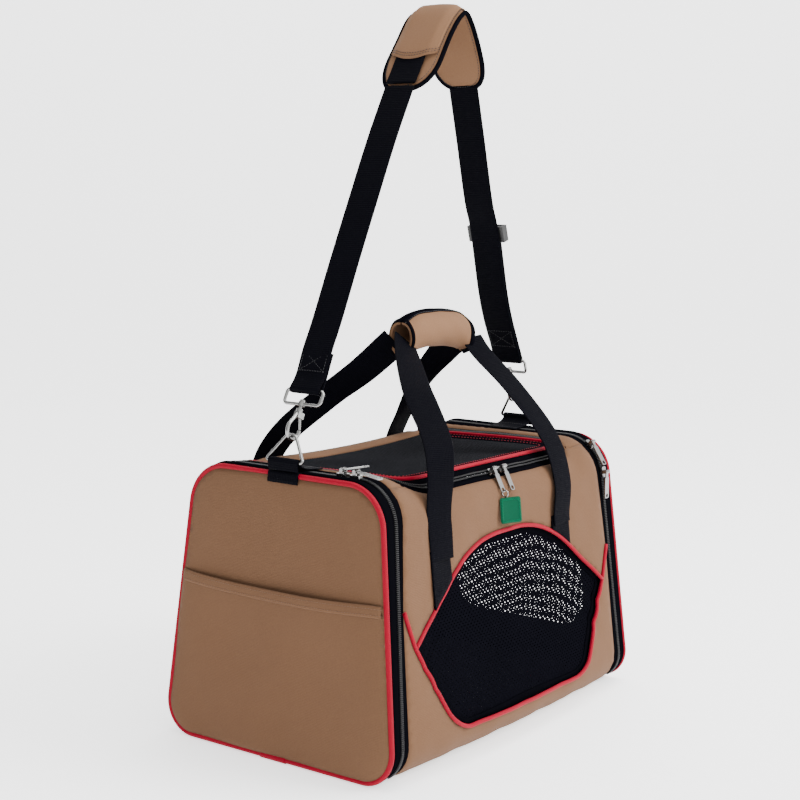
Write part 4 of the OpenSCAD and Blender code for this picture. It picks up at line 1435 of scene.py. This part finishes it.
def flat_material(name, colour, rough, glow):
    material = bpy.data.materials.new(name)
    material.use_nodes = True
    shader = material.node_tree.nodes["Principled BSDF"]
    shader.inputs["Base Color"].default_value = (*colour, 1)
    shader.inputs["Roughness"].default_value = rough
    shader.inputs["Emission Color"].default_value = (1, 1, 1, 1)
    shader.inputs["Emission Strength"].default_value = glow
    return material


def build_floor():
    mesh = bpy.data.meshes.new("studio_floor")
    x = np.concatenate([np.linspace(-4, 2.2, 32), 2.2 + 1.2 * np.sin(np.linspace(0.1, math.pi / 2, 16))])
    z = np.concatenate([np.zeros(32), 1.2 * (1 - np.cos(np.linspace(0.1, math.pi / 2, 16)))])
    pts = []
    for a, b in zip(x, z):
        pts += [(-5.0, a, b), (5.0, a, b)]
    mesh.from_pydata(pts, [], [(2 * i, 2 * i + 1, 2 * i + 3, 2 * i + 2) for i in range(len(x) - 1)])
    mesh.shade_smooth()
    mesh.materials.append(flat_material("studio_paper", (0.9, 0.9, 0.905), 0.6, 1.3))
    floor = bpy.data.objects.new("studio_floor", mesh)
    floor.rotation_euler = (0, 0, PHOTO_TURN)
    bpy.context.scene.collection.objects.link(floor)
    return floor


def add_light(name, at, size, watts, colour=(1, 1, 1)):
    light = bpy.data.lights.new(name, "AREA")
    light.size = size
    light.energy = watts
    light.color = colour
    piece = bpy.data.objects.new(name, light)
    piece.location = at
    piece.rotation_euler = (Vector((0, 0, 0.25)) - Vector(at)).to_track_quat("-Z", "Y").to_euler()
    bpy.context.scene.collection.objects.link(piece)
    return piece


def build_camera():
    rise, roll = math.radians(7.28), math.radians(0.72)
    back = np.array([math.sin(PHOTO_TURN) * math.cos(rise), -math.cos(PHOTO_TURN) * math.cos(rise),
                     math.sin(rise)])
    right = unit(np.cross((0, 0, 1), back))
    up = np.cross(back, right)
    tilted = math.cos(roll) * right + math.sin(roll) * up
    upright = math.cos(roll) * up - math.sin(roll) * right
    turn = Matrix(np.stack([tilted, upright, back], 1).tolist()).to_4x4()
    data = bpy.data.cameras.new("photo_camera")
    data.lens = 71.3
    data.sensor_width = 36.0
    data.clip_start = 0.01
    data.clip_end = 50.0
    camera = bpy.data.objects.new("photo_camera", data)
    camera.matrix_world = Matrix.Translation(Vector(CAMERA_AT)) @ turn
    bpy.context.scene.collection.objects.link(camera)
    bpy.context.scene.camera = camera


def build_world():
    """White surroundings, brighter towards the front and right; plain white behind the object."""
    world = bpy.data.worlds.new("studio")
    world.use_nodes = True
    nodes, links = world.node_tree.nodes, world.node_tree.links
    where = nodes.new("ShaderNodeTexCoord")
    facing = nodes.new("ShaderNodeVectorMath")
    facing.operation = "DOT_PRODUCT"
    facing.inputs[1].default_value = unit((0.5, -0.75, 0.55))
    links.new(where.outputs["Generated"], facing.inputs[0])
    level = nodes.new("ShaderNodeMapRange")
    level.inputs["From Min"].default_value = -0.8
    level.inputs["To Min"].default_value = 0.35
    level.inputs["To Max"].default_value = 2.3
    links.new(facing.outputs["Value"], level.inputs["Value"])
    path = nodes.new("ShaderNodeLightPath")
    mix = nodes.new("ShaderNodeMix")
    mix.inputs["B"].default_value = 2.6
    links.new(path.outputs["Is Camera Ray"], mix.inputs["Factor"])
    links.new(level.outputs[0], mix.inputs["A"])
    links.new(mix.outputs["Result"], nodes["Background"].inputs["Strength"])
    nodes["Background"].inputs["Color"].default_value = (1, 1, 1, 1)
    bpy.context.scene.world = world


build_world()
build_floor()
add_light("key", (1.1, -2.2, 1.9), 1.4, 105)
add_light("top", (0.3, -0.2, 2.4), 1.6, 50)
build_camera()
